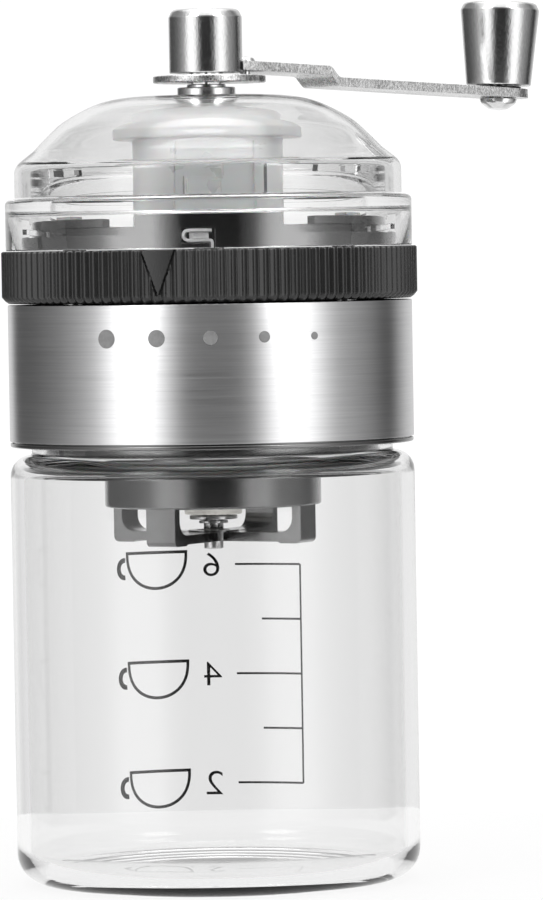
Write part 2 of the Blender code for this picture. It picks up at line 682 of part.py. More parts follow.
def make_carrier():
    black = black_plastic("carrier_black", 0.3)
    profile = [(CARRIER_RADIUS - 0.4, CARRIER_FOOT), (CARRIER_RADIUS, CARRIER_FOOT + 0.4)]
    profile += [(CARRIER_RADIUS, CARRIER_TOP), (CARRIER_INNER, CARRIER_TOP), (CARRIER_INNER, CARRIER_FOOT)]
    carrier = turned("burr_carrier", profile, black)
    outer, inner = CARRIER_RADIUS - 0.3, CARRIER_INNER - 0.2
    top, bend = CARRIER_FOOT + 1.2, 2.8
    half = [(outer, top), (outer, CARRIER_LEG_FOOT + 0.8), (outer - 0.8, CARRIER_LEG_FOOT)]
    half += [(inner - 2.6, CARRIER_LEG_FOOT), (inner - 3.0, CROSS_FOOT)]
    inside = [(s, z) for s, z in arc(inner - bend, CROSS_TOP + bend, bend, -90, 0, 4)] + [(inner, top)]
    outline = half + [(-s, z) for s, z in reversed(half)]
    outline += [(-s, z) for s, z in reversed(inside)] + inside
    for k, azimuth in enumerate(CARRIER_LEG_AZIMUTHS):
        rings = []
        for across in (-CARRIER_LEG_WIDTH / 2, CARRIER_LEG_WIDTH / 2):
            rings.append([(*turn_flat((s, across), azimuth), z) for s, z in outline])
        fuse(carrier, stack(f"cross_helper_{k + 1}", rings, None, capped=True))
    for k, azimuth in enumerate(KEY_AZIMUTHS):
        fuse(carrier, radial_block(f"key_helper_{k + 1}", 20.4, 23.0, KEY_WIDTH, 88.0, 95.0, azimuth))
    fuse(carrier, pillar("hub_helper", 5.0, 0.0, 0.0, CROSS_FOOT + 0.1, CROSS_TOP + 0.3))
    cut(carrier, pillar("hub_bore_helper", HUB_BORE, 0.0, 0.0, CROSS_FOOT - 2.0, CROSS_TOP + 2.0))


def make_lower_bush():
    inner, outer = SHAFT_STUB_RADIUS + GAP, HUB_BORE - GAP
    low, high = CROSS_FOOT + 0.2, CROSS_TOP + 0.2
    profile = [(outer, low), (outer, high), (inner, high), (inner, low)]
    bronze = material("bronze", (0.6, 0.42, 0.22), 0.3, metallic=1.0)
    turned("lower_bush", profile, bronze, facets=SMALL_FACETS)


def make_thrust_screw():
    low, high, radius = THRUST_SCREW_FOOT, SHAFT_END - GAP, 1.9
    profile = [(radius - 0.3, low), (radius, low + 0.3), (radius, high - 0.3), (1.2, high)]
    screw = turned("thrust_screw", profile, steel("thrust_steel"), facets=SMALL_FACETS, capped=True)
    cut(screw, radial_block("driver_slot_helper", -3.0, 3.0, 0.6, low - 1.0, low + 0.7, 30.0))


# ---------------------------------------------------------------- spindle

def make_shaft():
    hexed = hexagon(HEX_FLATS)
    levels = [(1.5, SHAFT_END), (SHAFT_STUB_RADIUS, SHAFT_END + 0.4), (SHAFT_STUB_RADIUS, 72.0)]
    levels += [(hexed, 72.0), (hexed, 89.5), (SHAFT_RADIUS, 89.5), (SHAFT_RADIUS, 142.5)]
    levels += [(SHAFT_NECK_RADIUS, 142.5), (SHAFT_NECK_RADIUS, SHAFT_SHOULDER), (hexed, SHAFT_SHOULDER)]
    levels += [(hexed, SHAFT_TOP - 0.6), (2.5, SHAFT_TOP)]
    stack("drive_shaft", [ring(r, z, SHAFT_FACETS) for r, z in levels], steel("shaft_steel"), capped=True)


def make_washer(name, inner, outer, low, high, finish, facets=SMALL_FACETS):
    profile = [(outer, low), (outer, high), (inner, high), (inner, low)]
    return turned(name, profile, finish, facets=facets)


def make_spindle_hardware():
    stub = SHAFT_STUB_RADIUS + GAP
    washer_top = INNER_BURR_FOOT - GAP
    clip_top = washer_top - 1.0
    make_washer("burr_washer", stub, 4.7, washer_top - 0.7, washer_top, steel("washer_steel"), SHAFT_FACETS)
    make_washer("burr_clip", stub, 2.85, clip_top - 0.5, clip_top, steel("clip_steel"))
    make_washer("spring_clip", SHAFT_RADIUS + GAP, 6.3, SPRING_CLIP_TOP - 1.0, SPRING_CLIP_TOP,
                steel("spring_clip_steel"), SHAFT_FACETS)


# ---------------------------------------------------------------- lid

def lid_outline(shrink):
    """Outer profile of the dome, or its inner one when shrunk by the wall."""
    rise = shrink * 1.25
    points = [(LID_RADIUS - shrink, LID_FOOT), (LID_RADIUS - shrink, 139.6 - 0.3 * shrink)]
    points += [(LID_RADIUS - 0.3 - shrink, 140.2 - 0.3 * shrink)]
    points += [(34.1 - 0.6 * shrink, 143.2 - 0.75 * shrink), (31.5 - 0.6 * shrink, 145.9 - 0.8 * shrink)]
    points += [(28.2 - 0.5 * shrink, 148.9 - 0.85 * shrink), (22.9, 151.8 - rise)]
    points += [(18.3, 153.2 - shrink), (14.0, 153.6 - 0.85 * shrink)]
    return points


def make_lid():
    clear = clear_plastic("lid_clear")
    profile = lid_outline(0.0) + [(LID_HOLE, 153.65), (LID_HOLE, 152.4)]
    profile += reversed(lid_outline(LID_WALL))
    lid = turned("dome_lid", profile, clear)
    for k in range(SLOT_COUNT):
        turn = 360.0 * k / SLOT_COUNT
        fuse(lid, sector(f"lid_lug_helper_{k + 1}", 33.3, 37.2, LUG_LEFT + turn, LUG_RIGHT + turn,
                         SLOT_FOOT + GAP, SLOT_TOP - GAP))


# ---------------------------------------------------------------- crank

def along_arm(point):
    return turn_flat(point, ARM_AZIMUTH)


def arm_top(s):
    """Height of the arm's upper face at a distance from the crank axis."""
    fraction = min(1.0, max(0.0, (s - JOGGLE_START) / (JOGGLE_END - JOGGLE_START)))
    step = fraction * fraction * (3.0 - 2.0 * fraction)
    return ARM_TOP_AT_START - tan(radians(ARM_SLOPE)) * (s - ARM_START) - JOGGLE_DROP * step


def make_crank_plate():
    meet = (PLATE_RADIUS ** 2 - (ARM_WIDTH / 2) ** 2 + EAR_CENTRE ** 2) / (2 * EAR_CENTRE)
    side = sqrt(PLATE_RADIUS ** 2 - meet ** 2)
    disc_start, ear_start = atan2(side, meet), atan2(side, meet - EAR_CENTRE)
    outline = []
    disc_steps, ear_steps = 36, 12
    for i in range(disc_steps + 1):
        a = disc_start + (2 * pi - 2 * disc_start) * i / disc_steps
        outline.append(along_arm((PLATE_RADIUS * cos(a), PLATE_RADIUS * sin(a))))
    for i in range(1, ear_steps):
        a = -ear_start + 2 * ear_start * i / ear_steps
        outline.append(along_arm((EAR_CENTRE + ARM_WIDTH / 2 * cos(a), ARM_WIDTH / 2 * sin(a))))
    plate = prism("crank_plate", outline, PLATE_FOOT, PLATE_TOP, steel("plate_steel", 0.15))
    hexed = hexagon(HEX_FLATS + 2 * GAP)
    low, high = PLATE_FOOT - 1.0, PLATE_TOP + 1.0
    hex_cutter = [ring(hexed, z, SHAFT_FACETS) for z in (low, high)]
    cut(plate, stack("plate_hex_helper", hex_cutter, None, capped=True))
    cut(plate, pillar("plate_hole_helper", RIVET_BORE, ARM_AZIMUTH, RIVET_CENTRE, low, high, 16))


def make_hub():
    edge, socket = 1.2, 5.3
    profile = [(HUB_RADIUS - 1.5, HUB_TOP)] + arc(HUB_RADIUS - edge, HUB_TOP - edge, edge, 80, 0, 4)
    profile += [(HUB_RADIUS, HUB_FOOT), (socket + GAP, HUB_FOOT), (socket + GAP, HUB_TOP - 1.8)]
    turned("hub_cap", profile, steel("hub_chrome", 0.12), facets=MEDIUM_FACETS, capped=True)
    bore = hexagon(HEX_FLATS + 2 * GAP)
    high = HUB_TOP - 2.1
    levels = [(socket, HUB_FOOT), (socket, high), (bore, high), (bore, HUB_FOOT)]
    stack("drive_socket", [ring(r, z, SHAFT_FACETS) for r, z in levels], black_plastic("socket_black"),
          capped=False)


def make_arm():
    bend_steps, end_steps, half = 8, 10, ARM_WIDTH / 2
    stations = [(ARM_START / 2, half), (18.0, half)]
    stations += [(JOGGLE_START + (JOGGLE_END - JOGGLE_START) * i / bend_steps, half)
                 for i in range(bend_steps + 1)]
    stations += [(54.0, half)]
    for i in range(end_steps):
        a = pi / 2 * i / end_steps
        stations.append((ARM_LENGTH + half * sin(a), half * cos(a)))
    rings = []
    for s, width in stations:
        top = arm_top(s)
        corners = ((-width, top), (width, top), (width, top - ARM_THICKNESS), (-width, top - ARM_THICKNESS))
        rings.append([(*along_arm((s, across)), z) for across, z in corners])
    arm = stack("crank_arm", rings, steel("arm_steel", 0.15), capped=True)
    cut(arm, pillar("arm_notch_helper", ARM_START, ARM_AZIMUTH, 0.0, PLATE_TOP, ARM_TOP_AT_START + 2.0,
                    MEDIUM_FACETS))
    cut(arm, pillar("arm_rivet_hole_helper", RIVET_BORE, ARM_AZIMUTH, RIVET_CENTRE,
                    PLATE_FOOT, ARM_TOP_AT_START + 1.0, 16))
    cut(arm, pillar("arm_axle_hole_helper", AXLE_BORE, ARM_AZIMUTH, ARM_LENGTH,
                    arm_top(ARM_LENGTH) - 5.0, arm_top(ARM_LENGTH) + 5.0, MEDIUM_FACETS))


def make_arm_rivet():
    head = arm_top(RIVET_CENTRE) + 0.2
    under = arm_top(RIVET_CENTRE) - ARM_THICKNESS - 0.2
    seat = PLATE_TOP + 0.12
    profile = [(1.0, PLATE_FOOT), (1.0, seat), (2.0, seat), (2.0, under), (1.0, under)]
    profile += [(1.0, head), (1.7, head), (1.6, head + 0.5), (1.2, head + 0.95), (0.6, head + 1.15)]
    rivet = turned("arm_rivet", profile, steel("rivet_steel"), facets=SMALL_FACETS, capped=True)
    rivet.location = Vector(polar(RIVET_CENTRE, ARM_AZIMUTH, 0.0)) * MM


def knob_frame():
    """An empty on the knob's axis, square to the drooping arm."""
    frame = bpy.data.objects.new("knob_axis", None)
    bpy.context.scene.collection.objects.link(frame)
    heading = Vector(along_arm((1.0, 0.0)))
    droop = radians(ARM_SLOPE)
    up = Vector((sin(droop) * heading.x, sin(droop) * heading.y, cos(droop)))
    turn = Vector((0, 0, 1)).rotation_difference(up).to_matrix().to_4x4()
    place = Vector((*along_arm((ARM_LENGTH, 0.0)), arm_top(ARM_LENGTH))) * MM
    frame.matrix_world = Matrix.Translation(place) @ turn
    return frame


def make_knob(frame):
    under = -ARM_THICKNESS - 0.15
    axle = [(1.0, under - 2.4), (2.4, under - 1.95), (3.4, under - 1.1), (3.85, under - 0.3), (3.85, under)]
    axle += [(AXLE_RADIUS, under), (AXLE_RADIUS, 12.4), (1.5, 12.8)]
    turned("knob_axle", axle, steel("axle_steel"), facets=SHAFT_FACETS, capped=True).parent = frame
    rubber = black_plastic("washer_black")
    washer = make_washer("knob_washer", AXLE_BORE, 4.6, 0.12, 0.5, rubber, SHAFT_FACETS)
    washer.parent = frame
    foot, edge = 0.65, 1.2
    top = foot + KNOB_HEIGHT
    profile = [(KNOB_TOP_RADIUS - 1.4, top)] + arc(KNOB_TOP_RADIUS - edge, top - edge, edge, 70, 0, 3)
    profile += [(KNOB_FOOT_RADIUS, foot + 0.4), (KNOB_FOOT_RADIUS - 0.35, foot), (AXLE_BORE, foot)]
    profile += [(AXLE_BORE, 13.3)]
    turned("knob", profile, steel("knob_chrome", 0.12), facets=MEDIUM_FACETS, capped=True).parent = frame


def main():
    clear_scene()
    make_jar()
    make_gasket()
    make_housing()
    make_sleeve()
    make_collar()
    make_collar_screws()
    make_detent_spring()
    make_hopper_ring()
    make_tower()
    make_upper_bush()
    make_burr_spring()
    make_adjusting_ring()
    make_funnel()
    make_ring_screws()
    make_outer_burr()
    make_inner_burr()
    make_carrier()
    make_lower_bush()
    make_thrust_screw()
    make_shaft()
    make_spindle_hardware()
    make_lid()
    make_crank_plate()
    make_hub()
    make_arm()
    make_arm_rivet()
    make_knob(knob_frame())


main()
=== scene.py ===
"""Looks of the hand crank coffee grinder: fine meshes, materials, light and camera around the CAD frame.

Sizes are in millimetres and degrees until they reach a mesh. An azimuth is counted from the front,
which is -Y, towards +X. Radii and heights are read from the frame wherever the CAD part has them.
"""
from math import atan2, cos, degrees, pi, radians, sin, sqrt, tan

import bpy
from mathutils import Matrix, Vector


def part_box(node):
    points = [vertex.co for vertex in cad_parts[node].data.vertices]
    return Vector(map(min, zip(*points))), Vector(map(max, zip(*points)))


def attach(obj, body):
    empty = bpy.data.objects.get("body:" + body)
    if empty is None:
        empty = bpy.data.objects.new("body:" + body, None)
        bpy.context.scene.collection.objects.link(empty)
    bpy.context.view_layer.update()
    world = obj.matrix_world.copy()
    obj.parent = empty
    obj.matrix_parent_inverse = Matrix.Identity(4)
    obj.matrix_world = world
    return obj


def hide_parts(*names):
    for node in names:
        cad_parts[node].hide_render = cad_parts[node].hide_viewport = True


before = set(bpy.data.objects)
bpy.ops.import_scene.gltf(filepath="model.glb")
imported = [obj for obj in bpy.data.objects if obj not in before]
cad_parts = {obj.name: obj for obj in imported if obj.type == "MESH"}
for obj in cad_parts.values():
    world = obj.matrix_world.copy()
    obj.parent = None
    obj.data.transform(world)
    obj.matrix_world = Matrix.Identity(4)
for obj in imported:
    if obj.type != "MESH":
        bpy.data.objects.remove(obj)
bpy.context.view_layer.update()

MM = 0.001
SEGMENTS = 192             # around a turned piece
SMALL_SEGMENTS = 64
AXIS = 0.02                # radius at which a capped profile meets the axis
PRINT_DEPTH = 0.03         # how far ink stands off its surface


# ---------------- sizes from the frame

def foot(node):
    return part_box(node)[0].z / MM


def top(node):
    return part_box(node)[1].z / MM


def span(node):
    return foot(node), top(node)


def reach(node):
    """Largest radius of a node that is turned about the main axis."""
    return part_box(node)[1].x / MM


JAR_RADIUS = reach("glass_jar")
JAR_TOP = top("glass_jar")
JAR_WALL = 2.6
JAR_FLOOR = 4.0
JAR_NECK = 35.4
JAR_SHOULDER = 79.0
THREAD_PITCH = 4.0
THREAD_FOOT = 86.8         # middle of the jar's thread where it starts, at the front
THREAD_TURNS = 1.1
THREAD_HEIGHT = 0.8
THREAD_FADE = 0.08         # of a turn, at both ends
HOUSING_THREAD_TURN = 227.0
HOUSING_FOOT = foot("housing")
SLEEVE_RADIUS = reach("steel_sleeve")
SLEEVE_TOP = top("steel_sleeve")
RING_RADIUS = reach("adjusting_ring")
RING_FOOT = foot("adjusting_ring")
RING_TOP = top("adjusting_ring")
RIB_COUNT = 120
RIB_DEPTH = 0.6
POINTER_AZIMUTH = -14.0
POINTER_HALF_WIDTH = 3.3
POINTER_LENGTH = 9.0
DOT_HEIGHT = 106.8
DOTS = ((-30.0, 1.8), (-15.0, 1.65), (0.0, 1.4), (15.0, 1.1), (30.0, 0.75))   # azimuth, radius
SKIRT_RADIUS = reach("hopper_ring")
SKIRT_FOOT = RING_TOP + 0.1
HOPPER_TOP = top("hopper_ring")
SHOULDER_TOP = 133.8
LID_RADIUS = reach("dome_lid")
LID_FOOT = foot("dome_lid")
CARRIER_RADIUS = 21.2
CARRIER_FOOT = 73.4
LEG_AZIMUTHS = (60.0, 180.0, 300.0)
ARM_AZIMUTH = 126.5
ARM_SLOPE = 2.5
ARM_LENGTH = 73.9
ARM_HALF = 6.0
ARM_THICKNESS = 1.8
ARM_START = 7.6
ARM_TOP_AT_START = 160.2
JOGGLE = (26.0, 29.0, 2.15)     # start, end, drop
KNOB_HEIGHT = 16.9

# The studio: (azimuth, level) round the walls, (height, level) up them, and levels of its other lights.
WALL_PEAK = 1.9
WALL_LEVELS = ((-180.0, 0.90), (-158.0, 0.85), (-146.0, 0.10), (-119.0, 0.12), (-96.0, 0.22), (-80.0, 0.42),
               (-68.0, 0.7), (-56.0, 1.8), (-34.0, 1.8), (-25.0, 0.7), (-16.0, 0.04), (17.0, 0.03),
               (27.0, 0.3), (37.0, 1.5), (43.0, 1.8), (58.0, 1.8), (69.0, 0.9), (77.0, 0.5), (93.0, 0.34),
               (106.0, 0.22), (115.0, 0.08), (126.0, 0.04), (135.0, 0.40), (148.0, 0.72), (180.0, 0.90))
FILL = 0.22                # added to the walls away from the horizon
FILL_RISE = (0.10, 0.45)
LAMP = 7.0                 # two lamps above the soft boxes
LAMP_TURN = ((-180.0, 0.0), (-60.0, 0.0), (-50.0, 1.0), (-38.0, 1.0), (-28.0, 0.0), (30.0, 0.0), (40.0, 1.0),
             (50.0, 1.0), (60.0, 0.0), (180.0, 0.0))
LAMP_RISE = ((0.0, 0.0), (0.36, 0.0), (0.50, 1.0), (0.72, 1.0), (0.84, 0.0), (1.0, 0.0))
# What shows past the object through its clear pieces.
PAST_LEVELS = ((-180.0, 1.0), (-120.5, 1.0), (-119.5, 0.3), (-116.0, 0.3), (-114.5, 1.0), (104.0, 1.0),
               (110.0, 0.88), (120.0, 0.88), (126.0, 1.0), (180.0, 1.0))
PAST_PEAK = 0.93
DIFFUSE_LIGHT = 1.9        # what matt surfaces receive from all round
CEILING = 1.9
CEILING_RISE = (0.60, 0.90)
ZENITH = 7.0               # a bright spot straight above, for the edges
ZENITH_RISE = ((0.0, 0.0), (0.92, 0.0), (0.96, 1.0), (1.0, 1.0))
BACKDROP = 1.05
FLOOR_RADIUS = 0.14


# ---------------- mesh helpers

def polar(radius, azimuth, z):
    return (radius * sin(radians(azimuth)), -radius * cos(radians(azimuth)), z)


def piece(name, points, faces, finish=None, body="", replaced=(), sharp=32.0):
    """A mesh from millimetre points that rides on a body and stands for CAD nodes, or a bare helper."""
    mesh = bpy.data.meshes.new(name)
    mesh.from_pydata([Vector(p) * MM for p in points], [], faces)
    mesh.validate()
    mesh.shade_smooth()
    mesh.set_sharp_from_angle(angle=radians(sharp))
    obj = bpy.data.objects.new(name, mesh)
    bpy.context.scene.collection.objects.link(obj)
    if finish:
        material, slot = finish
        mesh.materials.append(material)
        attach(obj, body)
        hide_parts(*replaced)
    return obj


def bevel(obj, width, segments=2, angle=40.0):
    modifier = obj.modifiers.new("edges", "BEVEL")
    modifier.width = width * MM
    modifier.segments = segments
    modifier.limit_method = "ANGLE"
    modifier.angle_limit = radians(angle)
    modifier.harden_normals = True
    return obj


def combine(target, helper, operation):
    """Applies a Boolean at once and removes its helper."""
    modifier = target.modifiers.new(helper.name, "BOOLEAN")
    modifier.operation = operation
    modifier.solver = "EXACT"
    modifier.object = helper
    bpy.context.view_layer.update()
    evaluated = target.evaluated_get(bpy.context.evaluated_depsgraph_get())
    result = bpy.data.meshes.new_from_object(evaluated)
    target.modifiers.remove(modifier)
    target.data = result
    bpy.data.objects.remove(helper)


def cut(target, helper):
    combine(target, helper, "DIFFERENCE")


def fuse(target, helper):
    combine(target, helper, "UNION")


def rounded(corners, steps=5, closed=True):
    """Profile points from (radius, z) or (radius, z, fillet) corners."""
    points, count = [], len(corners)
    for i, corner in enumerate(corners):
        here = Vector(corner[:2])
        at_end = not closed and i in (0, count - 1)
        if len(corner) < 3 or at_end:
            points.append(here)
            continue
        fillet = corner[2]
        before = (Vector(corners[i - 1][:2]) - here).normalized()
        after = (Vector(corners[(i + 1) % count][:2]) - here).normalized()
        half = before.angle(after) / 2
        centre = here + (before + after).normalized() * fillet / sin(half)
        start = here + before * fillet / tan(half) - centre
        end = here + after * fillet / tan(half) - centre
        sweep = start.angle(end)
        for k in range(steps + 1):
            share = k / steps
            turn = start * sin((1 - share) * sweep) + end * sin(share * sweep)
            points.append(centre + turn / sin(sweep))
    return [(p.x, p.y) for p in points]


def smooth_curve(knots, steps=6):
    """A curve through the knots, as points."""
    points, last = [], len(knots) - 1
    for i in range(last):
        p0, p1 = Vector(knots[max(0, i - 1)]), Vector(knots[i])
        p2, p3 = Vector(knots[i + 1]), Vector(knots[min(last, i + 2)])
        for k in range(steps):
            t = k / steps
            point = (p1 * 2 + (p2 - p0) * t + (p0 * 2 - p1 * 5 + p2 * 4 - p3) * t * t
                     + (p1 * 3 - p0 - p2 * 3 + p3) * t * t * t) / 2
            points.append(tuple(point))
    return points + [tuple(knots[-1])]


def strip(rings, capped):
    """Points and faces of rings joined in turn, with flat caps or closed on themselves."""
    count, levels = len(rings[0]), len(rings)
    points = [p for ring in rings for p in ring]
    faces = []
    for k in range(levels - 1 if capped else levels):
        low, high = k * count, ((k + 1) % levels) * count
        for i in range(count):
            j = (i + 1) % count
            faces.append((low + i, low + j, high + j, high + i))
    if capped:
        faces.append(tuple(reversed(range(count))))
        faces.append(tuple(range((levels - 1) * count, levels * count)))
    return points, faces


def outward(points, faces):
    """The same faces, turned so that the solid's volume is positive."""
    volume = 0.0
    for face in faces:
        a = Vector(points[face[0]])
        for b, c in zip(face[1:], face[2:]):
            volume += a.dot(Vector(points[b]).cross(Vector(points[c])))
    return (points, faces) if volume > 0 else (points, [tuple(reversed(face)) for face in faces])


def ring_of(radius, z, segments):
    """One level; the radius may be a function of azimuth and height."""
    azimuths = [360.0 * i / segments for i in range(segments)]
    return [polar(radius(a, z) if callable(radius) else radius, a, z) for a in azimuths]


def lofted(name, rings, *place, capped=True, sharp=32.0):
    """A solid from ring to ring. Its place is what piece() takes: finish, body and CAD nodes."""
    points, faces = outward(*strip(rings, capped))
    return piece(name, points, faces, *place, sharp=sharp)


def turned(name, profile, *place, capped=False, segments=SEGMENTS, sharp=32.0):
    """A solid of revolution from (radius, z) points; a capped one ends on the axis."""
    rings = [ring_of(r, z, segments) for r, z in profile]
    return lofted(name, rings, *place, capped=capped, sharp=sharp)


def bent_block(name, r_low, r_high, a_low, a_high, z_low, z_high, *place):
    """A block bent around the axis between two azimuths."""
    steps = max(2, round((a_high - a_low) / 2.0))
    corners = ((r_low, z_low), (r_high, z_low), (r_high, z_high), (r_low, z_high))
    azimuths = [a_low + (a_high - a_low) * i / steps for i in range(steps + 1)]
    return lofted(name, [[polar(r, a, z) for r, z in corners] for a in azimuths], *place)


def prism(name, outline, z_low, z_high, *place):
    """A flat outline of (x, y) points raised between two heights."""
    return lofted(name, [[(x, y, z) for x, y in outline] for z in (z_low, z_high)], *place)


def turn_flat(along, across, azimuth):
    """Moves a point along and across a direction to (x, y)."""
    heading = radians(azimuth - 90.0)
    return (along * cos(heading) - across * sin(heading), along * sin(heading) + across * cos(heading))


def radial_bar(name, s_low, s_high, width, z_low, z_high, azimuth, *place):
    corners = ((s_low, -width / 2), (s_high, -width / 2), (s_high, width / 2), (s_low, width / 2))
    return prism(name, [turn_flat(s, w, azimuth) for s, w in corners], z_low, z_high, *place)


def post(name, radius, azimuth, centre, z_low, z_high, *place):
    x, y, _ = polar(centre, azimuth, 0.0)
    angles = [2 * pi * (i + 0.4) / 32 for i in range(32)]
    outline = [(x + radius * cos(a), y + radius * sin(a)) for a in angles]
    return prism(name, outline, z_low, z_high, *place)


def cells(azimuths, radii, heights, solid):
    """Points and faces of the bent cells for which solid(azimuth, radius, z) is true."""
    turns, rows, levels = len(azimuths), len(radii) - 1, len(heights) - 1

    def filled(i, j, k):
        if not (0 <= j < rows and 0 <= k < levels):
            return False
        after = azimuths[(i + 1) % turns] + (360.0 if i + 1 >= turns else 0.0)
        return solid((azimuths[i % turns] + after) / 2, (radii[j] + radii[j + 1]) / 2,
                     (heights[k] + heights[k + 1]) / 2)

    index, points, faces = {}, [], []

    def corner(i, j, k):
        key = (i % turns, j, k)
        if key not in index:
            index[key] = len(points)
            points.append(polar(radii[j], azimuths[key[0]], heights[k]))
        return index[key]

    around = ((0, 0), (1, 0), (1, 1), (0, 1))
    grid = [(i, j, k) for i in range(turns) for j in range(rows) for k in range(levels)]
    for i, j, k in grid:
        if not filled(i, j, k):
            continue
        for side in (0, 1):
            step, turn = 2 * side - 1, around if side else around[::-1]
            if not filled((i + step) % turns, j, k):
                faces.append([corner(i + side, j + d, k + e) for d, e in turn])
            if not filled(i, j + step, k):
                faces.append([corner(i + d, j + side, k + e) for e, d in turn])
            if not filled(i, j, k + step):
                faces.append([corner(i + d, j + e, k + side) for d, e in turn])
    return points, faces


# ---------------- materials

def new_material(name, **values):
    """A material whose Principled shader gets these plain values; returns its tools too."""
    made = bpy.data.materials.new(name)
    made.use_nodes = True
    tree = made.node_tree
    shader = tree.nodes["Principled BSDF"]
    for socket, value in values.items():
        shader.inputs[socket.replace("_", " ")].default_value = value
    return made, tree, shader


def node(tree, kind, links=(), **settings):
    """Adds a node, sets its properties or inputs, and links (output, input) pairs to it."""
    made = tree.nodes.new(kind)
    for key, value in settings.items():
        if hasattr(made, key):
            setattr(made, key, value)
        else:
            made.inputs[key.replace("_", " ")].default_value = value
    for source, target in links:
        tree.links.new(source, made.inputs[target])
    return made


def calc(tree, operation, *terms, vector=False):
    """A Math or Vector Math node whose terms are sockets or plain numbers."""
    made = node(tree, "ShaderNodeVectorMath" if vector else "ShaderNodeMath", operation=operation)
    for place, term in zip(made.inputs, terms):
        if isinstance(term, float):
            place.default_value = (term, term, term) if vector else term
        else:
            tree.links.new(term, place)
    return made.outputs[0]


def stretched(tree, scale):
    """Object coordinates scaled alike, or by axis for a grain that runs along one of them."""
    place = node(tree, "ShaderNodeTexCoord")
    return node(tree, "ShaderNodeMapping", [(place.outputs["Object"], "Vector")],
                Scale=scale if isinstance(scale, tuple) else (scale, scale, scale))


def around_axis(tree, turns_scale, height_scale):
    """Coordinates that run around the main axis and along it."""
    place = node(tree, "ShaderNodeTexCoord")
    x, y, z = node(tree, "ShaderNodeSeparateXYZ", [(place.outputs["Object"], 0)]).outputs
    angle = calc(tree, "ARCTAN2", x, y)
    both = node(tree, "ShaderNodeCombineXYZ", [(calc(tree, "SINE", angle), "X"),
                                              (calc(tree, "COSINE", angle), "Y"), (z, "Z")])
    return node(tree, "ShaderNodeMapping", [(both.outputs[0], "Vector")],
                Scale=(turns_scale, turns_scale, height_scale))


def noise(tree, mapping, detail=4.0, rough=0.6):
    made = node(tree, "ShaderNodeTexNoise", [(mapping.outputs["Vector"], "Vector")],
                Scale=1.0, Detail=detail, Roughness=rough)
    return made.outputs["Fac"]


def mixed(tree, first, second, share):
    made = node(tree, "ShaderNodeMix", [(first, "A"), (second, "B")], Factor=share)
    return made.outputs["Result"]


def grey(level):
    return (level, level, level, 1.0)


def ramp(tree, source, stops):
    """A colour ramp of grey (position, level) stops, or colours."""
    made = node(tree, "ShaderNodeValToRGB", [(source, "Fac")])
    elements = made.color_ramp.elements
    while len(elements) < len(stops):
        elements.new(0.5)
    for element, (position, level) in zip(elements, stops):
        element.position = position
        element.color = (*level, 1.0) if isinstance(level, tuple) else grey(level)
    return made.outputs["Color"]


def spread(tree, source, low, high):
    """Maps a 0 to 1 value to a range."""
    made = node(tree, "ShaderNodeMapRange", [(source, "Value")], To_Min=low, To_Max=high)
    return made.outputs["Result"]


def bump(tree, shader, height, strength, distance):
    made = node(tree, "ShaderNodeBump", [(height, "Height")], Strength=strength, Distance=distance)
    tree.links.new(made.outputs["Normal"], shader.inputs["Normal"])


def grained(name, fine, tones, rough, relief=None, slow=None, **values):
    """A material whose grain, mixed with a slower one, sets its tone, its roughness and a shallow bump.

    The fine grain is a scale, a detail and perhaps a roughness, and the slow one a scale and its share.
    """
    made, tree, shader = new_material(name, **values)
    grain = noise(tree, stretched(tree, fine[0]), *fine[1:])
    both = mixed(tree, grain, noise(tree, stretched(tree, slow[0]), 2.0), slow[1]) if slow else grain
    tree.links.new(ramp(tree, both, tones), shader.inputs["Base Color"])
    tree.links.new(spread(tree, both, *rough), shader.inputs["Roughness"])
    if relief:
        bump(tree, shader, grain, *relief)
    return made


def clear_material(name, ior, clear, edge, waviness, mirror, roughness=0.0):
    """Glass or clear plastic: a little darker where it is seen edge on, with a slow waviness."""
    made, tree, shader = new_material(name, IOR=ior, Roughness=roughness, Transmission_Weight=1.0,
                                      Specular_Tint=grey(mirror))
    facing = node(tree, "ShaderNodeLayerWeight", Blend=0.35)
    tint = ramp(tree, facing.outputs["Facing"], ((0.0, clear), (0.55, clear - 0.01), (1.0, edge)))
    tree.links.new(tint, shader.inputs["Base Color"])
    bump(tree, shader, noise(tree, stretched(tree, (60.0, 60.0, 25.0)), 1.0), waviness, 0.0004)
    return made


def milky_plastic():
    return grained("milky_plastic", (120.0, 3.0), ((0.3, 0.96), (0.7, 0.99)), (0.22, 0.38), (0.15, 0.0002),
                   IOR=1.5, Transmission_Weight=0.35, Subsurface_Weight=0.2, Subsurface_Scale=0.004,
                   Coat_Weight=0.3)


def brushed_steel():
    """Steel brushed around the axis, with fine lines and a few stray scratches."""
    made, tree, shader = new_material("brushed_steel", Metallic=1.0, Anisotropic=0.8,
                                      Anisotropic_Rotation=0.25)
    lines = noise(tree, around_axis(tree, 3.0, 9000.0), 6.0, 0.7)
    both = mixed(tree, lines, noise(tree, around_axis(tree, 1.2, 2200.0), 3.0), 0.5)
    tone = ramp(tree, both, ((0.35, (0.56, 0.56, 0.565)), (0.65, (0.68, 0.68, 0.685))))
    tree.links.new(tone, shader.inputs["Base Color"])
    tree.links.new(spread(tree, both, 0.22, 0.40), shader.inputs["Roughness"])
    direction = node(tree, "ShaderNodeTangent", direction_type="RADIAL", axis="Z")
    tree.links.new(direction.outputs["Tangent"], shader.inputs["Tangent"])
    bump(tree, shader, both, 0.25, 0.00006)
    return made


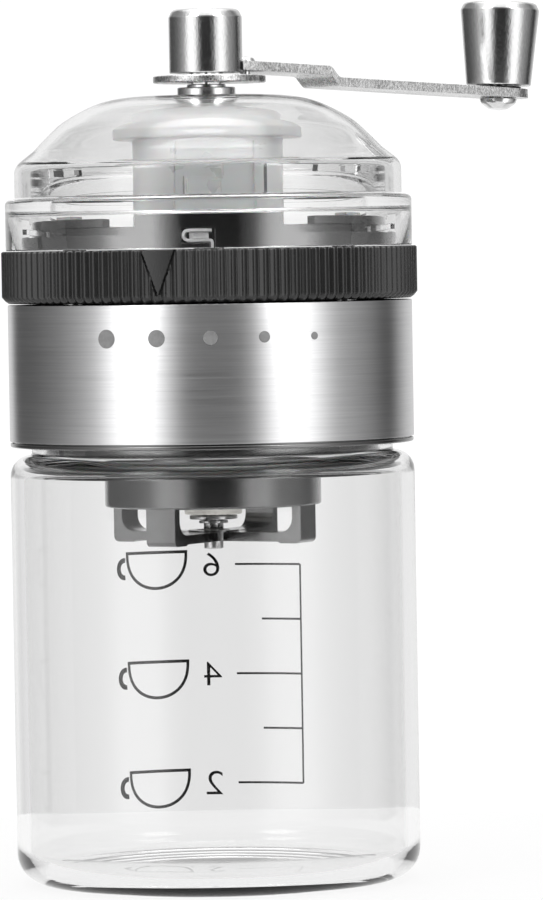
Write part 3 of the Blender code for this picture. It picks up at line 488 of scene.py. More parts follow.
def satin_chrome(name, tone, rough_low, rough_high, grain=2500.0, depth=0.00004):
    """Plated or polished metal with a fine grain that breaks up its reflections."""
    return grained(name, ((grain, grain, grain * 0.6), 3.0, 0.65), ((0.3, tone * 0.86), (0.7, tone)),
                   (rough_low, rough_high), (0.12, depth), ((90.0, 90.0, 60.0), 0.35), Metallic=1.0)


def black_plastic(name, tone, rough_low, rough_high, grain, depth, ior=1.5, coat=0.0, specular=0.5):
    """Moulded black plastic, matt to glossy."""
    return grained(name, (grain, 3.0), ((0.3, tone * 0.7), (0.7, tone * 1.3)), (rough_low, rough_high),
                   (0.4, depth), ((140.0, 140.0, 90.0), 0.4), IOR=ior, Coat_Weight=coat,
                   Coat_Roughness=rough_low, Specular_IOR_Level=specular)


def stamped_steel():
    """Tumbled sheet steel: bright, with a coarse mottle where it was cut."""
    made, tree, shader = new_material("stamped_steel", Metallic=1.0)
    mottle = noise(tree, stretched(tree, (2600.0, 2600.0, 1500.0)), 5.0, 0.75)
    both = mixed(tree, mottle, noise(tree, stretched(tree, 110.0), 2.0), 0.25)
    tree.links.new(ramp(tree, both, ((0.38, 0.24), (0.5, 0.56), (0.62, 0.88))), shader.inputs["Base Color"])
    tree.links.new(spread(tree, mottle, 0.12, 0.42), shader.inputs["Roughness"])
    bump(tree, shader, mottle, 0.6, 0.00008)
    return made


def ceramic():
    return grained("burr_ceramic", (1800.0, 4.0), ((0.3, (0.80, 0.78, 0.73)), (0.7, (0.90, 0.89, 0.85))),
                   (0.35, 0.55), (0.3, 0.00005), IOR=1.6)


def ink(name, tone):
    """Screen-printed ink: nearly even, with a faint mottle."""
    return grained(name, (900.0, 3.0), ((0.3, tone * 0.8), (0.7, tone * 1.15)), (0.4, 0.6), IOR=1.5)


def silicone():
    return grained("silicone", (300.0, 4.0), ((0.3, (0.72, 0.72, 0.70)), (0.7, (0.80, 0.80, 0.78))),
                   (0.5, 0.7), IOR=1.42, Subsurface_Weight=0.2, Subsurface_Scale=0.002)


# Each finish is a material and a slot name.
GLASS = clear_material("jar_glass_clear", 1.47, 0.935, 0.86, 0.05, 0.5), "glass"
CLEAR = clear_material("clear_plastic", 1.5, 0.88, 0.7, 0.12, 0.7, 0.01), "clear_plastic"
# Painted light: a clearer copy of the clear plastic for the hopper, so that the tower behind its wall shows
# lighter.
HOPPER_CLEAR_LIGHTENED = clear_material("hopper_plastic_lightened", 1.5, 0.98, 0.7, 0.12, 0.7, 0.01), "clear_plastic"
MILKY = milky_plastic(), "milky_plastic"
BRUSHED = brushed_steel(), "brushed_steel"
CHROME = satin_chrome("hub_chrome", 0.62, 0.10, 0.24, 2000.0, 0.0003), "chrome"
POLISHED = satin_chrome("polished_steel", 0.80, 0.10, 0.26, 1600.0), "polished_steel"
STAMPED = stamped_steel(), "polished_steel"
CLICK_STEEL = satin_chrome("click_steel", 0.92, 0.42, 0.58, 1500.0), "spring_steel"
SPRING = satin_chrome("spring_steel", 0.72, 0.16, 0.30, 1200.0), "spring_steel"
ZINC = satin_chrome("zinc_screw", 0.66, 0.22, 0.38, 900.0), "screw_steel"
RING_BLACK = black_plastic("ring_black", 0.009, 0.18, 0.32, 3500.0, 0.00005), "ring_black"
WASHER_BLACK = RING_BLACK[0], "black_plastic"
HOUSING_BLACK = black_plastic("housing_black", 0.004, 0.16, 0.24, 2500.0, 0.00001,
                              ior=1.75, coat=0.5, specular=1.0), "black_plastic"
COLLAR_BLACK = black_plastic("collar_black", 0.003, 0.07, 0.11, 2000.0, 0.000001,
                             ior=1.9, coat=1.0, specular=1.0), "gloss_black"
SCALE_INK = ink("scale_ink", 0.006), "gloss_black"
DOT_INK = ink("dot_grey", 0.12), "ring_black"


# ---------------- jar

def thread_rise(azimuth, z):
    """Height of the jar's thread at a point: one rounded ridge of a little more than a turn."""
    half, best = 0.95, 0.0
    for whole in (0, 1):
        turn = (azimuth % 360.0) / 360.0 + whole
        off = abs(z - THREAD_FOOT - THREAD_PITCH * turn)
        if turn <= THREAD_TURNS and off < half:
            fade = min(1.0, turn / THREAD_FADE, (THREAD_TURNS - turn) / THREAD_FADE)
            best = max(best, THREAD_HEIGHT * fade * (0.5 + 0.5 * cos(pi * off / half)) ** 0.6)
    return best


def make_jar():
    """The straight glass jar: rounded foot, shoulder and a neck with its thread, as one thick wall."""
    inner = JAR_RADIUS - JAR_WALL
    outside = [(AXIS, 0.5), (28.0, 0.35, 6.0), (31.5, 0.0, 1.5), (JAR_RADIUS, 0.0, 5.8)]
    outside += [(JAR_RADIUS, JAR_SHOULDER + 4.4, 3.9), (JAR_NECK, JAR_SHOULDER + 4.8, 0.5)]
    outside = rounded(outside + [(JAR_NECK, JAR_SHOULDER + 6.0)], 8, closed=False)
    neck_levels = 44
    low, high = JAR_SHOULDER + 6.2, JAR_TOP - 0.8
    for i in range(neck_levels + 1):
        z = low + (high - low) * i / neck_levels
        outside.append((lambda a, h: JAR_NECK + thread_rise(a, h), z))
    inside = [(JAR_NECK, JAR_TOP - 0.7), (JAR_NECK, JAR_TOP, 0.6), (33.0, JAR_TOP, 0.6)]
    inside += [(33.0, JAR_SHOULDER + 2.3, 1.6), (inner, JAR_SHOULDER + 1.8, 1.6)]
    inside += [(inner, JAR_FLOOR - 1.0, 4.0), (20.0, JAR_FLOOR - 1.1), (AXIS, JAR_FLOOR - 1.1)]
    profile = outside + rounded(inside, 8, closed=False)
    turned("jar_glass", profile, GLASS, "jar", ["glass_jar"], capped=True, sharp=50.0)


# ---------------- printed marks

def on_cylinder(radius, azimuth, z_low, points):
    """Bends flat (across, up) points in millimetres round a cylinder, read from outside."""
    return [polar(radius, azimuth + degrees(u / radius), z_low + v) for u, v in points]


def band_faces(count, closed):
    """Faces of a stroke whose points come in pairs."""
    last = count if closed else count - 1
    return [(2 * i, 2 * ((i + 1) % count), 2 * ((i + 1) % count) + 1, 2 * i + 1) for i in range(last)]


def stroke(path, width, closed=False):
    """Pairs of points on both sides of a flat path."""
    pairs, count = [], len(path)
    for i, point in enumerate(path):
        here = Vector(point)
        before = Vector(path[i - 1]) if closed or i else here
        after = Vector(path[(i + 1) % count]) if closed or i < count - 1 else here
        ahead, behind = (after - here), (here - before)
        sides = [Vector((-d.y, d.x)).normalized() for d in (behind, ahead) if d.length > 1e-9]
        across = sum(sides, Vector((0.0, 0.0))).normalized()
        across *= width / 2 / max(0.4, across.dot(sides[0]))
        pairs += [tuple(here - across), tuple(here + across)]
    return pairs, band_faces(count, closed)


def fine_line(start, end, steps):
    a, b = Vector(start), Vector(end)
    return [tuple(a.lerp(b, i / steps)) for i in range(steps + 1)]


def print_piece(name, shapes, radius, azimuth, z_low, finish, body):
    """Ink as a thin skin: each shape is flat points and faces, bent on and given a thickness."""
    points, faces = [], []
    for flat, flat_faces in shapes:
        base, count = len(points), len(flat)
        points += on_cylinder(radius, azimuth, z_low, flat)
        points += on_cylinder(radius + PRINT_DEPTH, azimuth, z_low, flat)
        edges = {}
        for face in flat_faces:
            faces.append(tuple(base + count + i for i in face))
            faces.append(tuple(base + i for i in reversed(face)))
            for a, b in zip(face, face[1:] + face[:1]):
                edges[(a, b)] = True
        for a, b in edges:
            if (b, a) not in edges:
                faces.append((base + a, base + b, base + count + b, base + count + a))
    return piece(name, points, faces, finish, body)


def digit_shape(text, height, centre_u, low_v, widen):
    """Flat points and faces of a numeral from the built-in font."""
    curve = bpy.data.curves.new("numeral", "FONT")
    curve.body = text
    curve.resolution_u = 8
    curve.offset = -0.008
    holder = bpy.data.objects.new("numeral", curve)
    bpy.context.scene.collection.objects.link(holder)
    bpy.context.view_layer.update()
    mesh = bpy.data.meshes.new_from_object(holder.evaluated_get(bpy.context.evaluated_depsgraph_get()))
    xs, ys = [v.co.x for v in mesh.vertices], [v.co.y for v in mesh.vertices]
    scale = height / (max(ys) - min(ys))
    middle = (max(xs) + min(xs)) / 2
    points = [(centre_u + (x - middle) * scale * widen, low_v + (y - min(ys)) * scale)
              for x, y in zip(xs, ys)]
    faces = [tuple(face.vertices) for face in mesh.polygons]
    bpy.data.objects.remove(holder)
    bpy.data.curves.remove(curve)
    return points, faces


def cup_shapes(centre_u, rim_v, width, depth, line):
    """A half-round cup with a flat rim and a small open handle."""
    half = width / 2
    bowl = [(-half * cos(pi * i / 32), -depth * sin(pi * i / 32) ** 0.8) for i in range(33)]
    outline = [(centre_u + u, rim_v + v) for u, v in bowl]
    outline += fine_line(outline[-1], outline[0], 10)[1:-1]
    ear_u, ear_v, wide, high = centre_u + half + 0.75, rim_v - 3.1, 1.35, 1.75
    angles = [radians(100.0 - 200.0 * i / 18) for i in range(19)]
    handle = [(ear_u + wide * cos(a), ear_v + high * sin(a)) for a in angles]
    return [stroke(outline, line, closed=True), stroke(handle, line * 1.6)]


def make_scale():
    """The cup scale on the back of the jar: a bracket with five marks, numerals and cups."""
    line, cup_line, step, first = 0.42, 0.62, 22.2, 15.25
    bracket, long_mark, short_mark = -18.9, 14.5, 8.9
    digit_u, digit_high, cup_u, cup_wide, cup_deep = 0.65, 4.8, 12.6, 13.2, 7.3
    shapes = [stroke(fine_line((bracket, first), (bracket, first + 2 * step), 8), line)]
    for k in range(5):
        v = first + step / 2 * k
        length = long_mark if k % 2 == 0 else short_mark
        shapes.append(stroke(fine_line((bracket, v), (bracket + length, v), 12), line))
    for k, text in enumerate(("2", "4", "6")):
        v = first + step * k
        shapes.append(digit_shape(text, digit_high, digit_u, v - digit_high / 2, 1.2))
        shapes += cup_shapes(cup_u, v + 2.7, cup_wide, cup_deep, cup_line)
    print_piece("jar_scale", shapes, JAR_RADIUS + 0.01, 180.0, 0.0, SCALE_INK, "jar")


def make_dots():
    """Five grind marks on the sleeve, from coarse to fine."""
    shapes = []
    for azimuth, radius in DOTS:
        u = radians(azimuth) * SLEEVE_RADIUS
        rim = [(u + radius * cos(2 * pi * i / 40), radius * sin(2 * pi * i / 40)) for i in range(40)]
        shapes.append((rim, [tuple(range(40))]))
    print_piece("grind_dots", shapes, SLEEVE_RADIUS + 0.01, 0.0, DOT_HEIGHT, DOT_INK, "head")


# ---------------- head

def make_housing():
    """The black body inside the sleeve: jar thread, roof and guide tube, and a black sheet in the jar's neck
    as painted shade.
    """
    flange, radius, inner, root, crest = 39.5, 38.8, 36.8, 37.2, 1.3
    flange_top, roof_low, roof_top = HOUSING_FOOT + 0.8, 97.0, 99.0
    guide_low, guide_in, guide_out = 86.0, 21.6, 23.4
    lag = THREAD_PITCH * (HOUSING_THREAD_TURN / 360.0 - 0.5)      # half a pitch off the jar's thread

    def thread(azimuth, z):
        return root - crest * thread_rise(azimuth + HOUSING_THREAD_TURN, z + lag) / THREAD_HEIGHT

    profile = rounded([(root, HOUSING_FOOT, 0.3), (flange, HOUSING_FOOT, 0.3), (flange, flange_top, 0.2),
                       (radius, flange_top), (radius, SLEEVE_TOP, 0.3), (inner, SLEEVE_TOP, 0.3),
                       (inner, roof_top), (guide_in, roof_top, 0.3), (guide_in, guide_low, 0.3),
                       (guide_out, guide_low, 0.3), (guide_out, roof_low), (root, roof_low)], 3)
    levels = [(thread, roof_low - 0.2 * i) for i in range(1, 55)]
    turned("housing_shell", profile + levels, HOUSING_BLACK, "head", ["housing"])
    # Painted shade: a thin black tube put in the jar's neck, where the neck only shows shade; the CAD housing
    # has no such part.
    shade_sheet_out, band_in, shade_sheet_foot, shade_sheet_top = 32.5, 31.0, 81.2, roof_low + 0.3
    skirt = rounded([(shade_sheet_out, shade_sheet_foot, 0.5), (shade_sheet_out, shade_sheet_top), (band_in, shade_sheet_top),
                     (band_in, shade_sheet_foot, 0.4)], 3)
    turned("neck_shade_sheet", skirt, HOUSING_BLACK, "head")


def make_sleeve():
    """The brushed steel skin round the housing."""
    inner, low = SLEEVE_RADIUS - 0.5, foot("steel_sleeve")
    profile = rounded([(SLEEVE_RADIUS, low, 0.12), (SLEEVE_RADIUS, SLEEVE_TOP, 0.18),
                       (inner, SLEEVE_TOP, 0.1), (inner, low, 0.1)], 3)
    turned("sleeve", profile, BRUSHED, "head", ["steel_sleeve"], segments=256)


def make_collar():
    """The black collar: foot ring, front and back blocks, hooked side channels and the click window."""
    foot_z, window_foot, step_z, window_top = RING_TOP + 0.1, 124.9, 126.6, 127.8
    hook_z, hook_top, high = 128.3, 129.8, 130.4
    inner, channel, lip, window_back, hook, outer = 27.0, 32.5, 33.6, 34.0, 34.8, 37.0
    block_end, hook_start, hook_end = 22.0, 35.0, 69.0           # degrees from the front or the back
    window_left, slot_left, window_right = 352.0, 0.3, 1.9
    sides = [0.0, block_end, hook_start, hook_end]
    sides += [180.0 - side for side in reversed(sides)]
    azimuths = {slot_left, window_right, window_left}
    for half in (0.0, 180.0):
        for a, b in zip(sides, sides[1:]):
            steps = round((b - a) / 2.0)
            azimuths |= {round(half + a + (b - a) * i / steps, 3) for i in range(steps)}
    azimuths = sorted(azimuths)
    radii = (inner, channel, lip, window_back, hook, outer)
    heights = (foot_z, window_foot, step_z, window_top, hook_z, hook_top, high)

    def solid(azimuth, radius, z):
        half = azimuth % 180.0
        side = min(half, 180.0 - half)
        beside = azimuth > window_left or azimuth < window_right
        if beside and radius > window_back and z < window_top:
            if z > window_foot or slot_left < azimuth < window_right:
                return False
        if z < step_z:
            return True
        if radius < channel:
            return False
        if side < block_end:
            return True
        if radius > hook or z > hook_top:
            return False
        if z < hook_z:
            return radius < lip or side > hook_end
        return side > hook_start

    points, faces = outward(*cells(azimuths, radii, heights, solid))
    collar = piece("collar", points, faces, COLLAR_BLACK, "head", ["lock_collar"])
    bevel(collar, 0.4, 3)
    for k, azimuth in enumerate(LEG_AZIMUTHS):
        bevel(post(f"collar_leg_{k + 1}", 2.3, azimuth, 30.0, 99.3, foot_z, COLLAR_BLACK, "head"), 0.15)


def make_click_spring():
    """A flat hairpin of bright spring steel; its leg drops to the ring's notches."""
    path = smooth_curve([(0.9, 127.25), (-2.8, 127.3), (-6.2, 127.25), (-7.15, 126.9), (-7.4, 126.35),
                         (-7.15, 125.8), (-6.2, 125.45), (-2.8, 125.4), (0.3, 125.4), (0.9, 125.15),
                         (1.02, 124.6), (1.03, 124.0)], 5)
    half, r_low, r_high = 0.27, 34.7, 36.95
    per_degree = radians(1.0) * 35.8
    rings = []
    for n, (azimuth, z) in enumerate(path):
        before, after = path[max(0, n - 1)], path[min(len(path) - 1, n + 1)]
        along = Vector(((after[0] - before[0]) * per_degree, after[1] - before[1])).normalized()
        across = Vector((-along.y, along.x)) * half
        rings.append([polar(r, azimuth + s * across.x / per_degree, z + s * across.y)
                      for s, r in ((1, r_low), (1, r_high), (-1, r_high), (-1, r_low))])
    place = (CLICK_STEEL, "head")
    bevel(lofted("click_spring", rings, *place, ["detent_spring"]), 0.1)
    leaf = bent_block("click_leaf", 35.0, 35.9, -5.9, 0.0, 125.75, 126.95, *place)
    cut(leaf, bent_block("leaf_dimple", 35.6, 36.2, -4.9, -4.1, 126.15, 126.6))
    bevel(leaf, 0.15)


def make_hopper():
    """The clear hopper: skirt, shoulder, wall with three L slots, and four lugs for the collar's channels."""
    wall_out, wall_in, seat = 34.8, 33.0, 31.0
    band_in, ledge = 38.0, 130.8
    slot_left, slot_entry, slot_right, slot_foot, slot_top = -7.7, 4.9, 18.6, 134.1, 137.5
    profile = rounded([(SKIRT_RADIUS, SKIRT_FOOT, 0.25), (SKIRT_RADIUS, SHOULDER_TOP, 1.1),
                       (wall_out, SHOULDER_TOP, 0.35), (wall_out, HOPPER_TOP, 0.5),
                       (wall_in, HOPPER_TOP, 0.5), (wall_in, SHOULDER_TOP, 0.4),
                       (seat, SHOULDER_TOP - 0.4, 0.4), (seat, ledge, 0.3),
                       (band_in, ledge, 0.5), (band_in, SKIRT_FOOT, 0.25)], 5)
    hopper = turned("hopper_clear", profile, HOPPER_CLEAR_LIGHTENED, "head", ["hopper_ring"])
    low, high, entry_top = 32.0, 36.0, 141.0          # the cuts go past the wall
    for turn in (0.0, 120.0, 240.0):
        cut(hopper, bent_block("slot", low, high, turn + slot_left, turn + slot_right, slot_foot, slot_top))
        cut(hopper, bent_block("entry", low, high, turn + slot_entry, turn + slot_right,
                               slot_top - 1.0, entry_top))
    for azimuth in (64.5, 115.5, 244.5, 295.5):
        fuse(hopper, bent_block("lug", 34.1, 38.6, azimuth - 2.0, azimuth + 2.0, 126.95, 127.95))
    hopper.data.set_sharp_from_angle(angle=radians(32.0))
    bevel(hopper, 0.22, 2, 50.0)


def make_tower():
    """The milky bearing tower with its three arms, and the steel bush in it."""
    cap, neck, inner = 18.5, 14.8, 12.8
    low, step, high = foot("bearing_tower"), 145.0, top("bearing_tower")
    profile = rounded([(cap, step, 0.35), (cap, step + 2.2, 1.0), (16.8, step + 4.2, 1.2),
                       (13.5, high - 1.1, 2.0), (9.5, high - 0.3, 2.0), (5.3, high, 0.3), (5.3, 143.4),
                       (7.3, 143.4), (7.3, 148.2), (inner, step + 2.0), (inner, low, 0.4),
                       (neck, low, 0.4), (neck, step, 0.5)], 4)
    tower = turned("tower", profile, MILKY, "head", ["bearing_tower"])
    for azimuth in LEG_AZIMUTHS:
        fuse(tower, radial_bar("tower_arm", 14.0, 32.0, 6.0, low, low + 2.2, azimuth))
        fuse(tower, radial_bar("tower_pad", 29.5, 31.9, 5.6, low + 1.0, 130.5, azimuth))
        cut(tower, bent_block("tower_panel", 14.2, 15.6, azimuth - 86.0, azimuth - 22.0, 131.0, 144.2))
    tower.data.set_sharp_from_angle(angle=radians(32.0))
    bush = rounded([(5.0, 143.7, 0.2), (5.0, high + 0.3), (5.72, high + 0.3, 0.15), (5.72, 155.2, 0.25),
                    (4.15, 155.2, 0.25), (4.15, 143.7, 0.2)], 3)
    turned("bush", bush, POLISHED, "head", ["upper_bush"], segments=SMALL_SEGMENTS)


def make_coil_spring():
    """The burr spring. It stands the carrier's travel above its clip, as its mesh can't be squeezed."""
    turns, coil_radius, wire, steps, sides = 5.0, 5.4, 0.45, 240, 12
    travel = 0.65
    low, high = foot("burr_spring") + wire + travel, top("burr_spring") - wire
    rings = []
    corners = [2 * pi * m / sides for m in range(sides)]
    for i in range(steps + 1):
        share = i / steps
        rings.append([polar(coil_radius + wire * cos(c), 360.0 * turns * share,
                            low + (high - low) * share + wire * sin(c)) for c in corners])
    lofted("coil_spring", rings, SPRING, "head", ["burr_spring"])


# ---------------- adjuster

def pointer_margin(azimuth, z):
    """Distance outside the pointer's triangle, in millimetres; negative inside it."""
    across = abs((azimuth - POINTER_AZIMUTH + 180.0) % 360.0 - 180.0) * radians(1.0) * RING_RADIUS
    share = (RING_TOP - z) / POINTER_LENGTH
    slant = POINTER_LENGTH / sqrt(POINTER_LENGTH ** 2 + POINTER_HALF_WIDTH ** 2)
    return (across - POINTER_HALF_WIDTH * (1.0 - share)) * slant


def rib_surface(inset):
    """Radius of the ribbed band: rounded ribs, a smooth triangle, and a groove round it."""
    def radius(azimuth, z):
        phase = (azimuth * RIB_COUNT / 360.0) % 1.0
        rise = (0.5 + 0.5 * cos(2 * pi * phase)) ** 0.75
        ribbed = RING_RADIUS - RIB_DEPTH * (1.0 - rise)
        margin = pointer_margin(azimuth, z)
        if margin < 0.0:
            return RING_RADIUS - 0.05 - inset
        if margin < 0.25:
            return RING_RADIUS - RIB_DEPTH - inset
        return ribbed - inset
    return radius


def make_ring():
    """The grip band, then its web with the slots for the collar's legs and the screw holes."""
    inner, lip, lip_foot = 37.9, 35.5, 122.0
    segments, levels = 14 * RIB_COUNT, 30
    low, high = RING_FOOT + 1.3, RING_TOP - 0.25
    surface = [(rib_surface(1.3), RING_FOOT + 0.02), (rib_surface(0.65), RING_FOOT + 0.5)]
    surface += [(rib_surface(0.0), low + (high - low) * i / levels) for i in range(levels + 1)]
    surface += [(rib_surface(0.3), RING_TOP)]
    inside = [(lip, RING_TOP), (lip, lip_foot), (inner, lip_foot), (inner, RING_FOOT + 0.3),
              (inner + 0.3, RING_FOOT)]
    rings = [ring_of(r, z, segments) for r, z in surface + inside]
    lofted("grip_ring", rings, RING_BLACK, "adjuster", ["adjusting_ring"], capped=False, sharp=50.0)
    web_in, web_out, web_low, web_top = 22.5, inner + 0.05, 117.0, 119.0
    web = rounded([(web_out, web_low), (web_out, web_top), (web_in, web_top, 0.3), (web_in, web_low, 0.3)], 3)
    disc = turned("ring_web", web, RING_BLACK, "adjuster")
    low, high = web_low - 1.0, web_top + 1.0
    for azimuth in LEG_AZIMUTHS:
        cut(disc, bent_block("web_slot", 27.4, 32.6, azimuth - 50.0, azimuth + 20.0, low, high))
        cut(disc, post("web_hole", 1.2, azimuth, 25.0, low, high))


def make_funnel():
    """The bean funnel under the ring, with the tube that holds the outer burr."""
    top_z, low = 116.7, 114.4
    throat, ledge, tube_in, tube_out, tube_foot = 15.5, 89.3, 17.3, 18.8, foot("hopper_funnel")
    profile = rounded([(27.0, low, 0.3), (27.0, top_z, 0.3), (22.5, top_z, 0.5), (22.0, top_z - 1.0, 1.0),
                       (throat, 94.0, 2.0), (throat, 91.0, 0.8), (14.0, ledge, 0.4), (tube_in, ledge),
                       (tube_in, tube_foot, 0.3), (tube_out, tube_foot, 0.3), (tube_out, 98.0, 1.0),
                       (24.0, low)], 4)
    funnel = turned("funnel", profile, HOUSING_BLACK, "adjuster", ["hopper_funnel"])
    for azimuth in LEG_AZIMUTHS:
        cut(funnel, post("flange_hole", 1.2, azimuth, 25.0, low - 1.0, top_z + 1.0))


# ---------------- carrier and shaft

def make_carrier():
    """The black cage under the burrs: a tube, two crossed U bars and a hub."""
    radius, inner, high = CARRIER_RADIUS, 19.2, 96.0
    place = (HOUSING_BLACK, "carrier")
    tube = rounded([(radius, CARRIER_FOOT, 0.5), (radius, high, 0.4), (inner, high, 0.3),
                    (inner, CARRIER_FOOT, 0.4)], 4)
    turned("cage_tube", tube, *place, ["burr_carrier"])
    width, outer, leg_in = 6.3, 20.9, 19.0
    leg_foot, cross_foot, cross_top, bend = 66.2, 66.5, 68.3, 2.8
    top_z = CARRIER_FOOT + 0.6
    outside = rounded([(outer, top_z), (outer, leg_foot, 1.1), (leg_in - 2.6, leg_foot, 0.4),
                       (leg_in - 3.2, cross_foot, 0.5), (0.0, cross_foot)], 5, closed=False)[:-1]
    inside = rounded([(0.0, cross_top), (leg_in, cross_top, bend), (leg_in, top_z)], 8, closed=False)[1:]
    outline = outside + [(-s, z) for s, z in reversed(outside)]
    outline += [(-s, z) for s, z in reversed(inside)] + inside
    for k, azimuth in enumerate((-29.0, 61.0)):
        rings = [[(*turn_flat(s, across, azimuth), z) for s, z in outline]
                 for across in (-width / 2, width / 2)]
        bar = lofted(f"cage_bar_{k + 1}", rings, *place)
        if k == 0:
            fuse(bar, post("cage_hub", 5.0, 0.0, 0.0, cross_foot + 0.1, cross_top + 0.3))
        cut(bar, post("cage_bore", 3.3, 0.0, 0.0, cross_foot - 2.0, cross_top + 2.0))
        bevel(bar, 0.35, 3)
    for k, azimuth in enumerate((90.0, 270.0)):
        bevel(radial_bar(f"cage_key_{k + 1}", 20.4, 23.0, 3.4, 88.0, 95.0, azimuth, *place), 0.2)


def hex_radius(flats, round_to):
    """Radius of a hexagon with its corners turned down."""
    def radius(azimuth, _):
        return min(round_to, flats / 2 / cos(radians((azimuth % 60.0) - 30.0)))
    return radius


def make_shaft():
    """The steel shaft with its two hexagons, then the washer and clips that sit on it."""
    hexed = hex_radius(6.0, 3.35)
    stub, body, neck, end, high = 1.95, 3.0, 3.85, foot("drive_shaft"), top("drive_shaft")
    hex_foot, hex_top, neck_foot, shoulder = 72.0, 89.5, 142.5, 155.8
    profile = [(1.5, end), (stub - 0.1, end + 0.3), (stub, end + 0.5), (stub, hex_foot), (hexed, hex_foot)]
    profile += [(hexed, hex_top), (body, hex_top), (body, neck_foot), (neck, neck_foot)]
    profile += [(neck, shoulder - 0.2), (neck - 0.2, shoulder)]
    profile += [(hex_radius(5.9, 3.2), shoulder), (hexed, high - 0.7), (2.6, high)]
    turned("shaft", profile, POLISHED, "spindle", ["drive_shaft"], capped=True, segments=96)
    for name, source, inner, outer, finish in (("lower_washer", "burr_washer", 2.25, 4.7, ZINC),
                                               ("lower_clip", "burr_clip", 2.25, 2.85, ZINC),
                                               ("seat_clip", "spring_clip", 3.3, 6.3, SPRING)):
        low, high = span(source)
        profile = rounded([(outer, low, 0.12), (outer, high, 0.12), (inner, high, 0.1), (inner, low, 0.1)], 3)
        turned(name, profile, finish, "spindle", [source], segments=SMALL_SEGMENTS)


def make_thrust_screw():
    """The slotted screw in the cage's hub, on which the shaft stands."""
    low, high = span("thrust_screw")
    profile = rounded([(AXIS, low), (1.9, low, 0.3), (1.9, high, 0.3), (AXIS, high)], 4, closed=False)
    screw = turned("bearing_screw", profile, ZINC, "carrier", ["thrust_screw"], capped=True,
                   segments=SMALL_SEGMENTS)
    cut(screw, radial_bar("driver_slot", -3.0, 3.0, 0.6, low - 1.0, low + 0.7, 30.0))


# ---------------- lid

def make_lid():
    """The clear dome: one even wall, a turned-in foot band and three bayonet lugs."""
    wall = 1.5
    band = rounded([(LID_RADIUS, LID_FOOT), (LID_RADIUS, 140.2, 3.0), (34.2, 143.1)], 8, closed=False)
    crown = smooth_curve([(34.2, 143.1), (31.5, 145.85), (28.2, 148.75), (22.9, 151.65), (18.3, 153.05),
                          (13.0, 153.58), (6.4, 153.65)], 6)
    outer = band[:-1] + crown
    inner = []
    for i, (r, z) in enumerate(outer):
        before, after = Vector(outer[max(0, i - 1)]), Vector(outer[min(len(outer) - 1, i + 1)])
        along = (after - before).normalized()
        inner.append((r - along.y * wall, z + along.x * wall))
    inner[0] = (LID_RADIUS - wall, LID_FOOT)
    inner[-1] = (6.4, 152.3)
    profile = outer + inner[::-1]
    lid = turned("dome", profile, CLEAR, "lid", ["dome_lid"])
    for turn in (0.0, 120.0, 240.0):
        fuse(lid, bent_block("lid_lug", 33.3, 37.0, turn - 6.5, turn + 4.0, 134.4, 137.2))
    lid.data.set_sharp_from_angle(angle=radians(40.0))


# ---------------- crank

def arm_top(s):
    """Height of the arm's upper face at a distance from the main axis."""
    start, end, drop = JOGGLE
    share = min(1.0, max(0.0, (s - start) / (end - start)))
    step = share * share * (3.0 - 2.0 * share)
    return ARM_TOP_AT_START - tan(radians(ARM_SLOPE)) * (s - ARM_START) - drop * step


def make_plate():
    """The round plate under the hub, with the arm's rounded ear and the hexagon hole."""
    disc, ear_centre = 10.4, 7.1
    meet = (disc ** 2 - ARM_HALF ** 2 + ear_centre ** 2) / (2 * ear_centre)
    side = sqrt(disc ** 2 - meet ** 2)
    disc_start, ear_start = atan2(side, meet), atan2(side, meet - ear_centre)
    outline = []
    for i in range(97):
        a = disc_start + (2 * pi - 2 * disc_start) * i / 96
        outline.append(turn_flat(disc * cos(a), disc * sin(a), ARM_AZIMUTH))
    for i in range(1, 32):
        a = -ear_start + 2 * ear_start * i / 32
        outline.append(turn_flat(ear_centre + ARM_HALF * cos(a), ARM_HALF * sin(a), ARM_AZIMUTH))
    low, high = span("crank_plate")
    plate = prism("plate", outline, low, high, STAMPED, "crank", ["crank_plate"])
    hexed = [polar(hex_radius(6.6, 4.0)(60.0 * i, 0.0), 60.0 * i, 0.0)[:2] for i in range(6)]
    cut(plate, prism("plate_hex", hexed, low - 1.0, high + 1.0))
    bevel(plate, 0.28, 3)


def make_hub():
    """The domed cap on the crank's plate, hollow for the drive socket."""
    (low, high), radius, socket = span("hub_cap"), reach("hub_cap"), 5.6
    profile = rounded([(AXIS, high), (radius - 0.75, high - 0.05, 1.2), (radius, high - 1.6, 0.9),
                       (radius, low, 0.25), (socket, low, 0.2), (socket, high - 1.8), (AXIS, high - 1.8)],
                      6, closed=False)
    turned("hub", profile, CHROME, "crank", ["hub_cap"], capped=True, segments=128)


def make_arm():
    """A flat bar with a joggle, one round end and a soft edge, that droops a little."""
    bends, ends = 14, 20
    start, end, _ = JOGGLE
    stations = [(ARM_START / 2 + 7.0 * i, ARM_HALF) for i in range(4)]
    stations += [(start + (end - start) * i / bends, ARM_HALF) for i in range(bends + 1)]
    stations += [(end + (ARM_LENGTH - end) * i / 6, ARM_HALF) for i in range(1, 6)]
    stations += [(ARM_LENGTH + ARM_HALF * sin(pi / 2 * i / ends), ARM_HALF * cos(pi / 2 * i / ends))
                 for i in range(ends)]
    rings = []
    for s, width in stations:
        high = arm_top(s)
        low = high - ARM_THICKNESS
        rings.append([(*turn_flat(s, across, ARM_AZIMUTH), z)
                      for across, z in ((-width, high), (width, high), (width, low), (-width, low))])
    arm = lofted("arm", rings, STAMPED, "crank", ["crank_arm"])
    cut(arm, post("axle_hole", 2.2, ARM_AZIMUTH, ARM_LENGTH, 150.0, 160.0))
    cut(arm, post("hub_notch", ARM_START, ARM_AZIMUTH, 0.0, 150.0, 165.0))
    bevel(arm, 0.3, 3)


